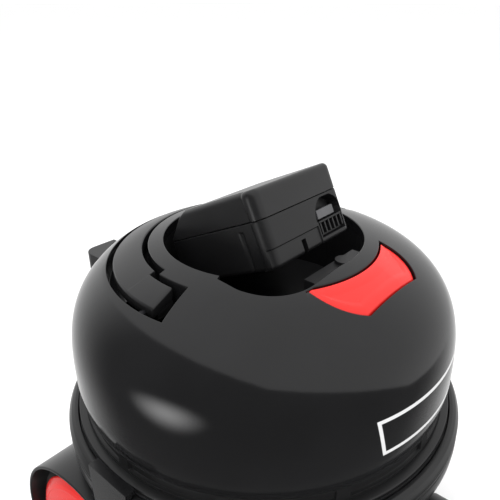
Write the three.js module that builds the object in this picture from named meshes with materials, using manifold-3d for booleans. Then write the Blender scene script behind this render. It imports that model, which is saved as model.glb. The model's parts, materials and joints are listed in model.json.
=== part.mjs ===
// Cordless drum vacuum cleaner, millimetres, +Z up, front towards -Y, standing on z = 0.
import * as THREE from 'three';
import { mergeVertices } from 'three/addons/utils/BufferGeometryUtils.js';
import Module from 'manifold-3d';

const wasm = await Module();
wasm.setup();

// ---- driving sizes ----
const degree = Math.PI / 180;
const roundSteps = 48;            // facets round the large turned pieces
const smallSteps = 16;            // facets round knuckles, collars and cups
const pinSteps = 12;
const inletSteps = 40;
const driveSteps = 32;
const fitGap = 0.3;               // clearance between pieces that touch
const wall = 3;                   // moulded wall
const through = 400;              // length of a tool that cuts right through

const wheelRadius = 80;
const rimHeight = 217;            // dome rim above the floor
const rimRadius = 145;            // dome at its lower rim
const bulgeRadius = rimRadius + 2.8;   // dome at its widest
const bulgeHeight = 20.7;         // widest circle above the rim
const crownHeight = 96.3;         // crown of the dome above its widest circle
const planPower = 2.5;            // the crown is a superellipse with these two powers
const risePower = 3.25;

// the dome's skin above the rim, at a radius
function domeHeight(radius) {
  return bulgeHeight + crownHeight * (1 - (radius / bulgeRadius) ** planPower) ** (1 / risePower);
}

const openingRadius = 74.6;       // battery bay opening
const scoopHalf = openingRadius - 0.6;   // squared corner of the opening, from the axis
const scoopCorner = 37;
const scoopFloor = domeHeight(openingRadius) - 25.3;
const scoopBack = 24;             // where the corner starts, ahead of the axis

const recessInner = openingRadius + 11.4;
const recessTongueInner = recessInner + 4.8;
const recessOuter = recessInner + 30.6;
const handleInner = recessInner + 4.1;
const handleOuter = recessOuter - 4.6;
const handleTongueInner = handleInner + 3.9;   // the ends are narrower, on the inside
const handleThickness = 8;
const handleStrapStart = 13;      // degrees ahead of which only the tongue goes on
const handleTongueStart = -2.5;
const handleInset = 0.5;          // top face below the dome skin
const handlePivotY = 3.5;
const handlePivotZ = domeHeight((handleTongueInner + handleOuter) / 2) - 10.76;
const handleBossRadius = 8.5;
const handlePinRadius = 2.5;
const recessDepth = 14;
const recessEndDepth = 26;
const recessStep = 9;             // degrees at which the recess steps outwards
const recessFront = 15;           // front wall of the two end pockets, ahead of the axis

const paddleInner = openingRadius + 10.8;   // pocket of the release paddle
const paddleHalfAngle = 33;
const paddleCornerX = 30.7;
const paddleCornerY = paddleInner + 24.7;
const paddleBulgeX = 0.574 * paddleInner;
const paddleBulgeY = paddleInner + 11.6;
const paddleGap = 1.2;
const paddleThickness = 7;
const paddleInset = 0.4;
const paddleSeatHeight = domeHeight(paddleCornerY) - 22.5;

const hingeY = openingRadius - 20.6;   // ejector hinge behind the dome axis
const hingeHeight = domeHeight(openingRadius) - 38.26;   // above the rim
const batteryWidth = 89;
const batteryFront = openingRadius + hingeY - 18.6;   // front face ahead of the hinge
const batteryRear = 6;            // rear face ahead of the hinge
const batteryBottom = -7.4;       // heights are from the hinge
const batteryTop = 46.6;
const batterySeam = 26.6;
const batterySlopeStart = 35;     // where the top starts to fall towards the rear
const batteryRearTop = 22;
const batteryWall = 2.5;
const batteryCorner = 7;          // upright corners, in plan
const batteryRearCorner = 12;
const batteryTilt = 25;           // the pack as the spring leaves it
const pocketX = batteryWidth / 2 - 19.5;   // middle of the finger pocket on the pack's front face
const pocketHalf = 16;
const pocketDepth = 9;
const pocketFloor = 9;
const combHalf = 14;
const combDepth = 6;
const notchX = -10;               // notch in the pack's lower front edge
const hingePinRadius = 2;
const knuckleRadius = 4.5;

const boltHalf = 6;               // latch bolt, half its width
const boltBottom = hingeHeight + 19;
const boltTop = boltBottom + 6;

const trayWall = 3;
const trayFloor = hingeHeight - 21;
const trayRim = domeHeight(openingRadius) - 6.8;
const lugInner = 32;              // lugs of the ejector hinge
const lugOuter = 36;
const contactBlockTop = hingeHeight + 31;
const contactBlockFace = batteryFront - hingeY + 3.5;   // rear face of the contact block, ahead of the axis

const baseDepth = 16;             // head base below the rim
const baseRadius = rimRadius + 5;
const ventRadius = rimRadius - 0.8;
const ventCount = 12;
const motorHousingRadius = 62;
const motorHousingTop = trayFloor - 4;
const shaftRadius = 4;
const fanBottom = -11;
const boardBottom = -8;
const boardInner = motorHousingRadius + 14;
const boardOuter = boardInner + 42;

const tubRadius = baseRadius + 1;
const tubFootRadius = tubRadius - 23;
const castorRadius = 14.5;
const tubBottom = 2 * castorRadius + 7;
const tubDrop = 20;               // top edge of the tub below the rim
const sealInner = tubRadius - 4;
const filterBottom = -44;         // from the rim
const ringRadius = tubRadius + 8.2;
const ringTop = 17;               // ring band below the rim
const ringBottom = 48;

const wheelY = 46.6;              // rear axle behind the dome axis
const wheelInnerFace = tubRadius - 30;
const wheelOuterFace = wheelInnerFace + 30;
const rimInnerFace = wheelInnerFace + 3;
const rimOuterFace = wheelOuterFace - 5;
const rimSeat = wheelRadius - 12.3;
const hubCapRadius = wheelRadius - 6;
const hubCapDepth = 7;
const axleRadius = 6;
const wellGap = 5;
const archReach = wheelOuterFace + 9;

const castorX = 60;
const castorY = tubFootRadius - 40;     // ahead of the dome axis
const castorTrail = 9;
const castorStemRadius = 5;
const castorPinRadius = 2;

const dockReach = rimRadius + 41;      // rear face of the wand dock behind the dome axis
const dockHalfWidth = 44;
const dockTop = 55;
const dockFoot = 3;
const dockChannelHalf = 17;
const dockScrewX = 30;
const dockScrewHeight = 28;
const dockScrewRadius = 2;

const inletHeight = 127;
const inletReach = tubRadius + 22;     // front face of the hose inlet ahead of the dome axis
const inletBore = 21;
const inletTube = inletBore + wall;
const inletRadius = inletTube + 6;

const clampHalfLength = 20;
const clampPivotX = tubRadius + 5;
const clampPivotDrop = 43.5;
const clampPinRadius = 1.5;

const axisY = (inletReach - dockReach) / 2;   // puts the middle of the bounding box on y = 0

// ---- materials ----
function plastic(color, roughness) {
  return new THREE.MeshStandardMaterial({ color, roughness, metalness: 0 });
}
function metal(color, roughness) {
  return new THREE.MeshStandardMaterial({ color, roughness, metalness: 1 });
}
const gloss = plastic(0x191a1b, 0.3);
const satin = plastic(0x222324, 0.45);
const matt = plastic(0x161718, 0.7);
const red = plastic(0xd8201c, 0.35);
const greyTab = plastic(0x8a8d90, 0.5);
const rubber = plastic(0x0c0c0d, 0.85);
const steel = metal(0xb8bcc0, 0.3);
const darkSteel = metal(0x3a3a3d, 0.4);
const copper = metal(0xb06a3c, 0.4);
const greenBoard = plastic(0x1d5a34, 0.5);
const cellWrap = plastic(0x35608a, 0.5);
const whiteCloth = plastic(0xdcdad2, 0.95);

// ---- solids ----
// A closed three.js geometry as a solid that can be cut and joined.
function solid(geometry) {
  const bare = geometry.clone();
  bare.deleteAttribute('normal');
  bare.deleteAttribute('uv');
  const merged = mergeVertices(bare, 1e-4);
  const index = merged.index.array;
  const triVerts = [];
  for (let i = 0; i < index.length; i += 3) {
    const [a, b, c] = [index[i], index[i + 1], index[i + 2]];
    if (a !== b && b !== c && c !== a) triVerts.push(a, b, c);
  }
  return new wasm.Manifold(new wasm.Mesh({
    numProp: 3,
    vertProperties: merged.attributes.position.array,
    triVerts: new Uint32Array(triVerts),
  }));
}

function piece(name, body, material) {
  const { vertProperties, triVerts } = body.getMesh();
  const geometry = new THREE.BufferGeometry();
  geometry.setAttribute('position', new THREE.BufferAttribute(new Float32Array(vertProperties), 3));
  geometry.setIndex(new THREE.BufferAttribute(new Uint32Array(triVerts), 1));
  geometry.computeVertexNormals();
  const mesh = new THREE.Mesh(geometry, material);
  mesh.name = name;
  return mesh;
}

function group(children, x = 0, y = 0, z = 0) {
  const made = new THREE.Group();
  made.add(...children);
  made.position.set(x, y, z);
  return made;
}

// pairs are [radius, height], from the bottom round the outside to the top
function turned(pairs, steps = roundSteps) {
  const points = pairs.map(([radius, height]) => new THREE.Vector2(radius, height));
  return solid(new THREE.LatheGeometry(points, steps).rotateX(Math.PI / 2));
}

function ring(pairs, steps = roundSteps) {
  return turned([...pairs, pairs[0]], steps);
}

// the same, round an axle along X: pairs are [radius, distance outwards]
function turnedOnAxle(pairs, side, steps = roundSteps) {
  const points = pairs.map(([radius, reach]) => new THREE.Vector2(radius, reach));
  return solid(new THREE.LatheGeometry(points, steps).rotateZ(-side * Math.PI / 2));
}

function prism(shape, bottom, top, curveSegments = 16) {
  const settings = { depth: top - bottom, bevelEnabled: false, curveSegments };
  return solid(new THREE.ExtrudeGeometry(shape, settings).translate(0, 0, bottom));
}

function box(x0, x1, y0, y1, z0, z1) {
  const made = new THREE.BoxGeometry(x1 - x0, y1 - y0, z1 - z0);
  return solid(made.translate((x0 + x1) / 2, (y0 + y1) / 2, (z0 + z1) / 2));
}

function cylinder(radius, bottom, top, x = 0, y = 0, steps = smallSteps) {
  const made = new THREE.CylinderGeometry(radius, radius, top - bottom, steps);
  return solid(made.rotateX(Math.PI / 2).translate(x, y, (bottom + top) / 2));
}

function cylinderX(radius, x0, x1, y, z, steps = smallSteps) {
  const made = new THREE.CylinderGeometry(radius, radius, x1 - x0, steps);
  return solid(made.rotateZ(Math.PI / 2).translate((x0 + x1) / 2, y, z));
}

function cylinderY(radius, y0, y1, x, z, steps = smallSteps) {
  const made = new THREE.CylinderGeometry(radius, radius, y1 - y0, steps);
  return solid(made.translate(x, (y0 + y1) / 2, z));
}

// part of a flat ring between two angles in degrees, 90 being the rear
function arcBand(inner, outer, from, to, bottom, top, segments = 20) {
  const shape = new THREE.Shape();
  shape.absarc(0, 0, outer, from * degree, to * degree, false);
  shape.absarc(0, 0, inner, to * degree, from * degree, true);
  return prism(shape, bottom, top, segments);
}

function mirrored(body) {
  return body.mirror([1, 0, 0]);
}

function onSide(body, side) {
  return side > 0 ? body : mirrored(body);
}

function onBothSides(body) {
  return body.add(mirrored(body));
}

class Helix extends THREE.Curve {
  constructor(radius, length, turns) {
    super();
    this.radius = radius;
    this.length = length;
    this.turns = turns;
  }
  getPoint(t) {
    const angle = t * this.turns * 2 * Math.PI;
    const x = this.radius * Math.cos(angle);
    const y = this.radius * Math.sin(angle);
    return new THREE.Vector3(x, y, (t - 0.5) * this.length);
  }
}

function coil(radius, length, turns, wireRadius) {
  const section = new THREE.Shape().absarc(0, 0, wireRadius, 0, 2 * Math.PI);
  const settings = { steps: turns * 8, curveSegments: 2, extrudePath: new Helix(radius, length, turns) };
  return new THREE.ExtrudeGeometry(section, settings);
}

// ---- dome ----
function domeOutline(offset, foot) {
  const points = [[0, foot], [rimRadius + offset, foot], [rimRadius + offset, 0]];
  const skirtSteps = 2;
  for (let i = 1; i <= skirtSteps; i++) {
    const t = i / skirtSteps;
    const radius = bulgeRadius - (bulgeRadius - rimRadius) * (1 - t) ** 2;
    points.push([radius + offset, bulgeHeight * t]);
  }
  const crownSteps = 9;
  for (let i = 1; i < crownSteps; i++) {
    const angle = (i / crownSteps) * Math.PI / 2;
    const radius = (bulgeRadius + offset) * Math.cos(angle) ** (2 / planPower);
    const height = (crownHeight + offset) * Math.sin(angle) ** (2 / risePower);
    points.push([radius, bulgeHeight + height]);
  }
  points.push([0, bulgeHeight + crownHeight + offset]);
  return points;
}

const aboveDome = 130;            // a height clear of the crown
const domeSolid = turned(domeOutline(0, 0));
const domeTall = turned(domeOutline(0, -80));

// everything deeper than this under the dome skin
function deeperThan(depth) {
  return domeTall.translate([0, 0, -depth]);
}

function scoopPrism(grow, bottom, top) {
  const half = scoopHalf + grow;
  const radius = scoopCorner + grow;
  const centre = half - radius;
  const shape = new THREE.Shape();
  shape.moveTo(0, -half);
  shape.absarc(-centre, -centre, radius, -Math.PI / 2, -Math.PI, true);
  shape.lineTo(-half, -(scoopBack - grow));
  shape.lineTo(0, -(scoopBack - grow));
  return prism(shape, bottom, top, 8);
}

function paddleOutline(gap) {
  const inner = paddleInner + gap;
  const halfAngle = paddleHalfAngle * degree - gap / inner;
  const start = -Math.PI / 2 - halfAngle;
  const end = -Math.PI / 2 + halfAngle;
  const cornerX = paddleCornerX - gap;
  const cornerY = -(paddleCornerY - gap);
  const bulgeX = paddleBulgeX - gap;
  const shape = new THREE.Shape();
  shape.absarc(0, 0, inner, end, start, true);
  shape.quadraticCurveTo(-bulgeX, -paddleBulgeY, -cornerX, cornerY);
  shape.lineTo(cornerX, cornerY);
  shape.quadraticCurveTo(bulgeX, -paddleBulgeY, inner * Math.cos(end), inner * Math.sin(end));
  return shape;
}

function handleRecess(grow) {
  const outer = recessOuter + grow;
  const main = arcBand(recessInner - grow, outer, recessStep, 180 - recessStep, 0, aboveDome)
    .subtract(deeperThan(recessDepth + grow));
  const rear = handlePivotY + 3 * handleBossRadius + grow;
  const ends = arcBand(recessTongueInner - grow, outer, -20, 200, 0, aboveDome)
    .subtract(deeperThan(recessEndDepth + grow))
    .intersect(box(-through, through, -recessFront - grow, rear, 0, aboveDome));
  return main.add(ends);
}

function dockScrewHole(side) {
  const grown = dockScrewRadius + fitGap;
  return cylinderY(grown, rimRadius - 25, rimRadius + 21, side * dockScrewX, dockScrewHeight, pinSteps);
}

function handlePinBody(grow) {
  const inner = recessInner - 1.5 - grow;
  const outer = recessOuter + 1.5 + grow;
  return cylinderX(handlePinRadius + grow, inner, outer, handlePivotY, handlePivotZ, pinSteps);
}

function domeShell() {
  const hollow = turned(domeOutline(-wall, -1));
  const trough = handleRecess(wall).intersect(domeSolid);
  const scoopCup = scoopPrism(wall, scoopFloor - wall, aboveDome).intersect(domeSolid);
  let dome = domeSolid.subtract(hollow).add(trough).add(scoopCup);
  dome = dome.subtract(handleRecess(0));
  dome = dome.subtract(scoopPrism(0, scoopFloor, aboveDome));
  dome = dome.subtract(cylinder(openingRadius, -through, through, 0, 0, roundSteps));
  dome = dome.subtract(prism(paddleOutline(0), 0, aboveDome));
  dome = dome.subtract(onBothSides(handlePinBody(fitGap)));
  for (const side of [-1, 1]) dome = dome.subtract(dockScrewHole(side));
  return piece('dome_shell', dome, gloss);
}

// ---- carry handle ----
function carryHandle() {
  const under = domeSolid.translate([0, 0, -handleInset]);
  const skin = under.subtract(deeperThan(handleInset + handleThickness));
  const strapEnd = 180 - handleStrapStart;
  const strap = arcBand(handleInner, handleOuter, handleStrapStart, strapEnd, 0, aboveDome);
  const tongueEnd = 180 - handleTongueStart;
  const tongues = arcBand(handleTongueInner, handleOuter, handleTongueStart, tongueEnd, 0, aboveDome);
  const boss = cylinderX(handleBossRadius, handleTongueInner, handleOuter, handlePivotY, handlePivotZ);
  const bosses = onBothSides(boss).intersect(under);
  const body = strap.add(tongues).intersect(skin).add(bosses);
  return piece('carry_handle', body.subtract(onBothSides(handlePinBody(fitGap))), satin);
}

function handlePin(name, side) {
  return piece(name, onSide(handlePinBody(0), side), darkSteel);
}

// ---- release paddle and latch ----
function releasePaddle() {
  const under = domeSolid.translate([0, 0, -paddleInset]);
  const skin = under.subtract(deeperThan(paddleInset + paddleThickness));
  return piece('release_paddle', prism(paddleOutline(paddleGap), 0, aboveDome).intersect(skin), red);
}

function paddleSpring() {
  const height = 12;
  const wireRadius = 0.8;
  const middle = paddleSeatHeight + height / 2 + wireRadius + fitGap;
  const made = coil(4, height, 4, wireRadius).translate(0, -paddleInner - 12.6, middle);
  return piece('paddle_spring', solid(made), steel);
}

function latchGuide() {
  const half = boltHalf + 0.5;
  return box(-half, half, -paddleInner - 5, 10 - contactBlockFace, boltBottom - 0.5, boltTop + 0.5);
}

function latchBolt() {
  const tip = contactBlockFace - 1;
  return piece('latch_bolt', box(-boltHalf, boltHalf, 1.4 - paddleInner, -tip, boltBottom, boltTop), matt);
}

// ---- battery bay ----
function bayTray() {
  const inner = openingRadius + fitGap;
  const outer = inner + trayWall;
  let tray = turned([
    [0, trayFloor], [outer, trayFloor], [outer, trayRim], [inner, trayRim], [inner, trayFloor + wall],
    [0, trayFloor + wall],
  ]);
  const seatHalf = 26;
  const seat = paddleSeatHeight;
  tray = tray.add(box(-seatHalf, seatHalf, 2 - paddleCornerY, 2 - outer, seat - wall, seat));
  const front = hingeY - knuckleRadius;
  const rear = hingeY + knuckleRadius;
  const lug = cylinderX(knuckleRadius, lugInner, lugOuter, hingeY, hingeHeight)
    .add(box(lugInner, lugOuter, front, rear, trayFloor + 1, hingeHeight));
  tray = tray.add(onBothSides(lug)).subtract(ejectorPinBody(fitGap));
  tray = tray.subtract(scoopPrism(wall + fitGap, scoopFloor - wall - fitGap, aboveDome));
  return piece('bay_tray', tray.subtract(latchGuide()), matt);
}

function contactBlock() {
  const foot = trayFloor + wall + fitGap;
  const limit = cylinder(openingRadius - fitGap, foot, aboveDome, 0, 0, roundSteps);
  const half = 30;
  const face = -contactBlockFace;
  let body = box(-half, half, -openingRadius, face, foot, contactBlockTop).intersect(limit);
  const bossRadius = 6.5;
  const bossTop = contactBlockTop + 2.5;
  body = body.add(cylinder(bossRadius, contactBlockTop - 1, bossTop, 8, face - bossRadius));
  const bladePocket = box(12, 26, face - 4.5, face + 9.5, hingeHeight - 3, hingeHeight + 11);
  return piece('contact_block', body.subtract(latchGuide()).subtract(bladePocket), matt);
}

function contactBlade(name, x) {
  const face = -contactBlockFace;
  return piece(name, box(x - 1, x + 1, face - 4, face + 2, hingeHeight - 1, hingeHeight + 9), copper);
}

function ejectorPlate() {
  const length = batteryFront - 26;
  const top = batteryBottom - 0.8;
  const bottom = top - wall;
  const half = 30;
  const side = new THREE.Shape();
  side.moveTo(-length, bottom);
  side.lineTo(-length, top);
  side.lineTo(-batteryRear, top);
  side.lineTo(-knuckleRadius, 0);
  side.lineTo(knuckleRadius, 0);
  side.lineTo(knuckleRadius, bottom);
  const springHalf = 11.5;
  const knuckle = cylinderX(knuckleRadius, springHalf, half, 0, 0);
  const body = sideProfile(side, half).add(onBothSides(knuckle))
    .subtract(box(-springHalf, springHalf, -12, 12, -7, 20))
    .subtract(cylinderX(hingePinRadius + fitGap, -through, through, 0, 0, pinSteps));
  return piece('ejector_plate', body, matt);
}

function ejectorPinBody(grow) {
  const reach = lugOuter + grow;
  return cylinderX(hingePinRadius + grow, -reach, reach, hingeY, hingeHeight, pinSteps);
}

function ejectorPin() {
  return piece('ejector_pin', ejectorPinBody(0), steel);
}

function ejectorSpring() {
  const coilRadius = 3.6;
  const length = 20;
  const made = coil(coilRadius, length, 5, 0.7).rotateY(Math.PI / 2).translate(0, hingeY, hingeHeight);
  return piece('ejector_spring', solid(made), steel);
}

// ---- battery ----
// An outline in the Y-Z plane, carried along X over twice the half width.
function sideProfile(shape, halfWidth) {
  const settings = { depth: 2 * halfWidth, bevelEnabled: false, curveSegments: 8 };
  const made = new THREE.ExtrudeGeometry(shape, settings).translate(0, 0, -halfWidth);
  const turn = new THREE.Matrix4().makeBasis(
    new THREE.Vector3(0, 1, 0), new THREE.Vector3(0, 0, 1), new THREE.Vector3(1, 0, 0),
  );
  return solid(made.applyMatrix4(turn));
}

function batteryBody(inset) {
  const side = new THREE.Shape();
  side.moveTo(-batteryRear - inset, batteryBottom + inset);
  side.lineTo(-batteryRear - inset, batteryRearTop - inset / 2);
  side.lineTo(-batterySlopeStart - inset / 2, batteryTop - inset);
  side.lineTo(-batteryFront + inset, batteryTop - inset);
  side.lineTo(-batteryFront + inset, batteryBottom + inset);
  const half = batteryWidth / 2 - inset;
  const corner = batteryCorner - inset;
  const rearCorner = batteryRearCorner - inset;
  const frontY = -(batteryFront - inset - corner);
  const rearY = -(batteryRear + inset + rearCorner);
  const plan = new THREE.Shape();
  plan.absarc(-half + corner, frontY, corner, Math.PI, 1.5 * Math.PI, false);
  plan.absarc(half - corner, frontY, corner, 1.5 * Math.PI, 2 * Math.PI, false);
  plan.absarc(half - rearCorner, rearY, rearCorner, 0, Math.PI / 2, false);
  plan.absarc(-half + rearCorner, rearY, rearCorner, Math.PI / 2, Math.PI, false);
  return sideProfile(side, half).intersect(prism(plan, -20, 60, 6));
}

// half-moon pocket for a finger, with the shallow recess of the comb below it
function fingerPocket(grow) {
  const front = -batteryFront;
  const round = cylinderY(pocketHalf + grow, front - 1, front + pocketDepth + grow, pocketX, pocketFloor)
    .intersect(box(-50, 50, front - 1, 0, pocketFloor - grow, batterySeam - 2));
  const half = combHalf + 1 + grow;
  const rear = front + combDepth + grow;
  return round.add(box(pocketX - half, pocketX + half, front - 1, rear, -3 - grow, pocketFloor + 0.1));
}

function batteryShell() {
  return batteryBody(0).subtract(batteryBody(batteryWall));
}

// everything on one side of the seam, between two heights above the hinge
function batterySlab(bottom, top) {
  return box(-batteryWidth, batteryWidth, -through, through, bottom, top);
}

function batteryLowerCase() {
  const front = -batteryFront;
  const notch = box(notchX - 2, notchX + 2, front - 1, front + 12, batteryBottom - 1, batteryBottom + 10);
  const body = batteryShell().add(fingerPocket(2).intersect(batteryBody(0)))
    .intersect(batterySlab(-through, batterySeam - fitGap))
    .subtract(fingerPocket(0))
    .subtract(notch);
  return piece('battery_lower_case', body, matt);
}

function batteryUpperCase() {
  return piece('battery_upper_case', batteryShell().intersect(batterySlab(batterySeam, through)), satin);
}

function cellPack() {
  const side = new THREE.Shape();
  side.moveTo(-14, batteryBottom + 3);
  side.lineTo(-14, batteryRearTop - 3);
  side.lineTo(-38, batteryTop - 5);
  side.lineTo(15 - batteryFront, batteryTop - 5);
  side.lineTo(15 - batteryFront, batteryBottom + 3);
  return piece('cell_pack', sideProfile(side, batteryWidth / 2 - 5), cellWrap);
}

function batteryTab() {
  const front = -batteryFront;
  const bottom = pocketFloor + 0.8;
  const body = box(pocketX - 12, pocketX + 8, front + 1.5, front + 5, bottom, bottom + 6.5);
  return piece('battery_latch_tab', body, greyTab);
}

function batteryComb() {
  const front = -batteryFront;
  const left = pocketX - combHalf;
  const right = pocketX + combHalf;
  const top = pocketFloor - 0.4;
  let body = box(left, right, front + 3.5, front + combDepth - 0.4, -2.6, top)
    .add(box(left, right, front + 0.4, front + 4, top - 1.4, top));
  const teeth = 6;
  const pitch = 5;
  for (let i = 0; i < teeth; i++) {
    const x = pocketX + (i - (teeth - 1) / 2) * pitch;
    body = body.add(box(x - 0.8, x + 0.8, front + 0.6, front + 4, -1, top));
  }
  return piece('battery_comb', body, matt);
}

// ---- head base and drive ----
function headBase() {
  const inletEye = 22;
  const floor = -baseDepth + wall;
  let body = ring([
    [inletEye, -baseDepth], [baseRadius, -baseDepth], [baseRadius, floor], [ventRadius, floor + 1],
    [ventRadius, -fitGap], [ventRadius - wall, -fitGap], [ventRadius - wall, floor], [inletEye, floor],
  ]);
  const pitch = 360 / ventCount;
  const bar = 4;                  // degrees between two slots
  const slot = pitch - bar;
  for (let i = 0; i < ventCount; i++) {
    const from = i * pitch + bar / 2;
    body = body.subtract(arcBand(ventRadius - 6, ventRadius + 6, from, from + slot, -9.5, -2, 4));
  }
  return piece('head_base', body, satin);
}

function headSeal() {
  const bottom = -tubDrop + fitGap;
  const top = -baseDepth - fitGap;
  const inner = sealInner;
  const outer = tubRadius - 0.5;
  return piece('head_seal', ring([[inner, bottom], [outer, bottom], [outer, top], [inner, top]]), rubber);
}

function motorHousing() {
  const foot = -baseDepth + wall + fitGap;
  const outer = motorHousingRadius;
  const inner = outer - wall;
  return piece('motor_housing', turned([
    [0, motorHousingTop - wall], [inner, motorHousingTop - wall], [inner, foot], [outer, foot],
    [outer, motorHousingTop], [0, motorHousingTop],
  ], driveSteps), matt);
}

function motorStator() {
  const top = motorHousingTop - wall - fitGap;
  const bore = shaftRadius + 3;
  const outer = motorHousingRadius - 22;
  const body = ring([[bore, 10], [outer, 10], [outer, top], [bore, top]], driveSteps);
  return piece('motor_stator', body, steel);
}

function motorShaft() {
  const top = motorHousingTop - 6;
  return piece('motor_shaft', cylinder(shaftRadius, fanBottom, top, 0, 0, driveSteps), steel);
}

function fanImpeller() {
  const bore = shaftRadius + fitGap;
  const hub = 14;
  const tip = motorHousingRadius - 8;
  const top = 4;
  const disc = top - 2;
  let fan = ring([
    [bore, fanBottom], [hub, fanBottom], [hub, disc], [tip, disc], [tip, top], [bore, top],
  ], driveSteps);
  const blade = box(hub - 2, tip - 1, -1, 1, fanBottom + 1, disc + 1);
  const blades = 8;
  for (let i = 0; i < blades; i++) fan = fan.add(blade.rotate([0, 0, i * 360 / blades]));
  return piece('fan_impeller', fan, satin);
}

function controlBoard() {
  const half = 38;
  const body = box(boardInner, boardOuter, -half, half, boardBottom, boardBottom + 1.6);
  return piece('control_board', body, greenBoard);
}

function boardPost(name, y) {
  const x = (boardInner + boardOuter) / 2;
  return piece(name, cylinder(4, -baseDepth + wall + fitGap, boardBottom - fitGap, x, y, pinSteps), satin);
}

// ---- wand dock ----
function wandDock() {
  const plan = new THREE.Shape();
  const corner = 12;
  plan.moveTo(-dockHalfWidth, 80);
  plan.lineTo(dockHalfWidth, 80);
  plan.lineTo(dockHalfWidth, dockReach - corner);
  plan.absarc(dockHalfWidth - corner, dockReach - corner, corner, 0, Math.PI / 2, false);
  plan.absarc(-dockHalfWidth + corner, dockReach - corner, corner, Math.PI / 2, Math.PI, false);
  let body = prism(plan, dockFoot, dockTop, 6);
  body = body.subtract(turned(domeOutline(fitGap, -5)));
  const slotHalf = 9;
  const front = dockReach - 28;
  body = body.subtract(box(-dockChannelHalf, dockChannelHalf, front, dockReach - 8, -10, 80));
  body = body.subtract(box(-slotHalf, slotHalf, dockReach - 20, dockReach + 5, -10, 80));
  for (const side of [-1, 1]) body = body.subtract(dockScrewHole(side));
  return piece('wand_dock', body, satin);
}

function dockScrew(name, side) {
  const x = side * dockScrewX;
  const head = rimRadius - 11;
  const body = cylinderY(dockScrewRadius, head, rimRadius + 20, x, dockScrewHeight, pinSteps)
    .add(cylinderY(2 * dockScrewRadius, head, head + 3, x, dockScrewHeight, pinSteps));
  return piece(name, body, steel);
}

// ---- tub ----
const tubTop = rimHeight - tubDrop;
const tubShoulder = rimHeight - ringBottom - 4;

function tubOutline(inset) {
  return [
    [0, tubBottom + inset], [tubFootRadius - 14 - inset, tubBottom + inset],
    [tubFootRadius - inset, tubBottom + 14], [tubRadius - inset, tubShoulder],
  ];
}

function wheelWell(grow) {
  const radius = wheelRadius + wellGap + grow;
  const inner = wheelInnerFace - wellGap - grow;
  return onBothSides(cylinderX(radius, inner, archReach + (grow ? 0 : 20), wheelY, wheelRadius, 32));
}

function tub() {
  const outer = turned([...tubOutline(0), [tubRadius, tubTop], [0, tubTop]]);
  const mouth = tubRadius - 8;
  const hollow = turned([
    ...tubOutline(wall), [tubRadius - wall, tubTop - wall], [mouth, tubTop - wall], [mouth, tubTop + 1],
    [0, tubTop + 1],
  ]);
  const aboveFloor = box(-through, through, -through, through, tubBottom + 20, through);
  const cup = cylinder(9, tubBottom + 1, tubBottom + 21, castorX, -castorY);
  const stemBore = cylinder(castorStemRadius + fitGap, tubBottom - 1, tubBottom + 18, castorX, -castorY);
  const body = outer.subtract(hollow)
    .add(onBothSides(cup))
    .add(wheelWell(wall).intersect(aboveFloor))
    .subtract(wheelWell(0))
    .subtract(cylinderX(axleRadius + fitGap, -wheelOuterFace, wheelOuterFace, wheelY, wheelRadius))
    .subtract(onBothSides(stemBore))
    .subtract(cylinderY(inletTube + fitGap, -through, -tubFootRadius / 2, 0, inletHeight, inletSteps));
  return piece('tub', body, satin);
}

function tubRing() {
  const inner = tubRadius + fitGap;
  const body = ring([
    [inner, -ringBottom], [ringRadius - 3.5, -ringBottom], [ringRadius - 0.6, -ringBottom + 8],
    [ringRadius, -ringBottom + 18], [ringRadius - 0.5, -ringTop - 7], [ringRadius - 3, -ringTop - 2.5],
    [inner + 2, -ringTop], [inner, -ringTop],
  ]);
  const pocketHalfLength = clampHalfLength + 1;
  const floor = clampPivotX - 2.7;
  const pocket = box(floor, floor + 17, -pocketHalfLength, pocketHalfLength, -ringBottom - 1, 0);
  return piece('tub_ring', body.subtract(onBothSides(pocket.add(clampPinBody(fitGap)))), satin);
}

function clampPinBody(grow) {
  const reach = clampHalfLength + 5 + grow;
  return cylinderY(clampPinRadius + grow, -reach, reach, clampPivotX, -clampPivotDrop, pinSteps);
}

function sideClamp(name, side) {
  const foot = -clampPivotDrop;
  const half = clampHalfLength;
  const inner = clampPivotX - clampPinRadius - 0.7;
  const outer = clampPivotX + clampPinRadius + 0.7;
  const body = box(inner, outer, -half, half, foot, -12)
    .add(cylinderY(outer - clampPivotX, -half, half, clampPivotX, foot))
    .add(box(inner - 3, outer, -half, half, -14, -10.5))
    .subtract(clampPinBody(fitGap / 2));
  return piece(name, onSide(body, side), gloss);
}

function clampPin(name, side) {
  return piece(name, onSide(clampPinBody(0), side), darkSteel);
}

function hoseInlet() {
  const body = cylinderY(inletRadius, -inletReach, -tubRadius - 0.6, 0, inletHeight, inletSteps)
    .add(cylinderY(inletTube, -tubRadius - 2, 29 - tubRadius, 0, inletHeight, inletSteps))
    .subtract(cylinderY(inletBore, -inletReach - 1, 51 - tubRadius, 0, inletHeight, inletSteps));
  return piece('hose_inlet', body, matt);
}

function inletSeal() {
  const y = -inletReach + 8;
  const body = cylinderY(inletBore - fitGap, y, y + 6, 0, inletHeight, inletSteps)
    .subtract(cylinderY(inletBore - 4, y - 1, y + 7, 0, inletHeight, inletSteps));
  return piece('inlet_seal', body, rubber);
}

function filterFrame() {
  const inner = tubRadius - 23;
  const outer = tubRadius - 9;
  const flange = sealInner - 0.5;
  const top = -baseDepth - fitGap - 0.2;
  const lip = -tubDrop + fitGap;
  return piece('filter_frame', ring([
    [inner, filterBottom], [outer, filterBottom], [outer, lip], [flange, lip], [flange, top], [inner, top],
  ]), satin);
}

function filterCloth() {
  const top = filterBottom - 0.5;
  return piece('filter_cloth', turned([
    [0, top - 21.5], [tubRadius - 63, top - 19.5], [tubRadius - 42, top - 5.5], [tubRadius - 40, top],
    [0, top],
  ], 40), whiteCloth);
}

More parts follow.
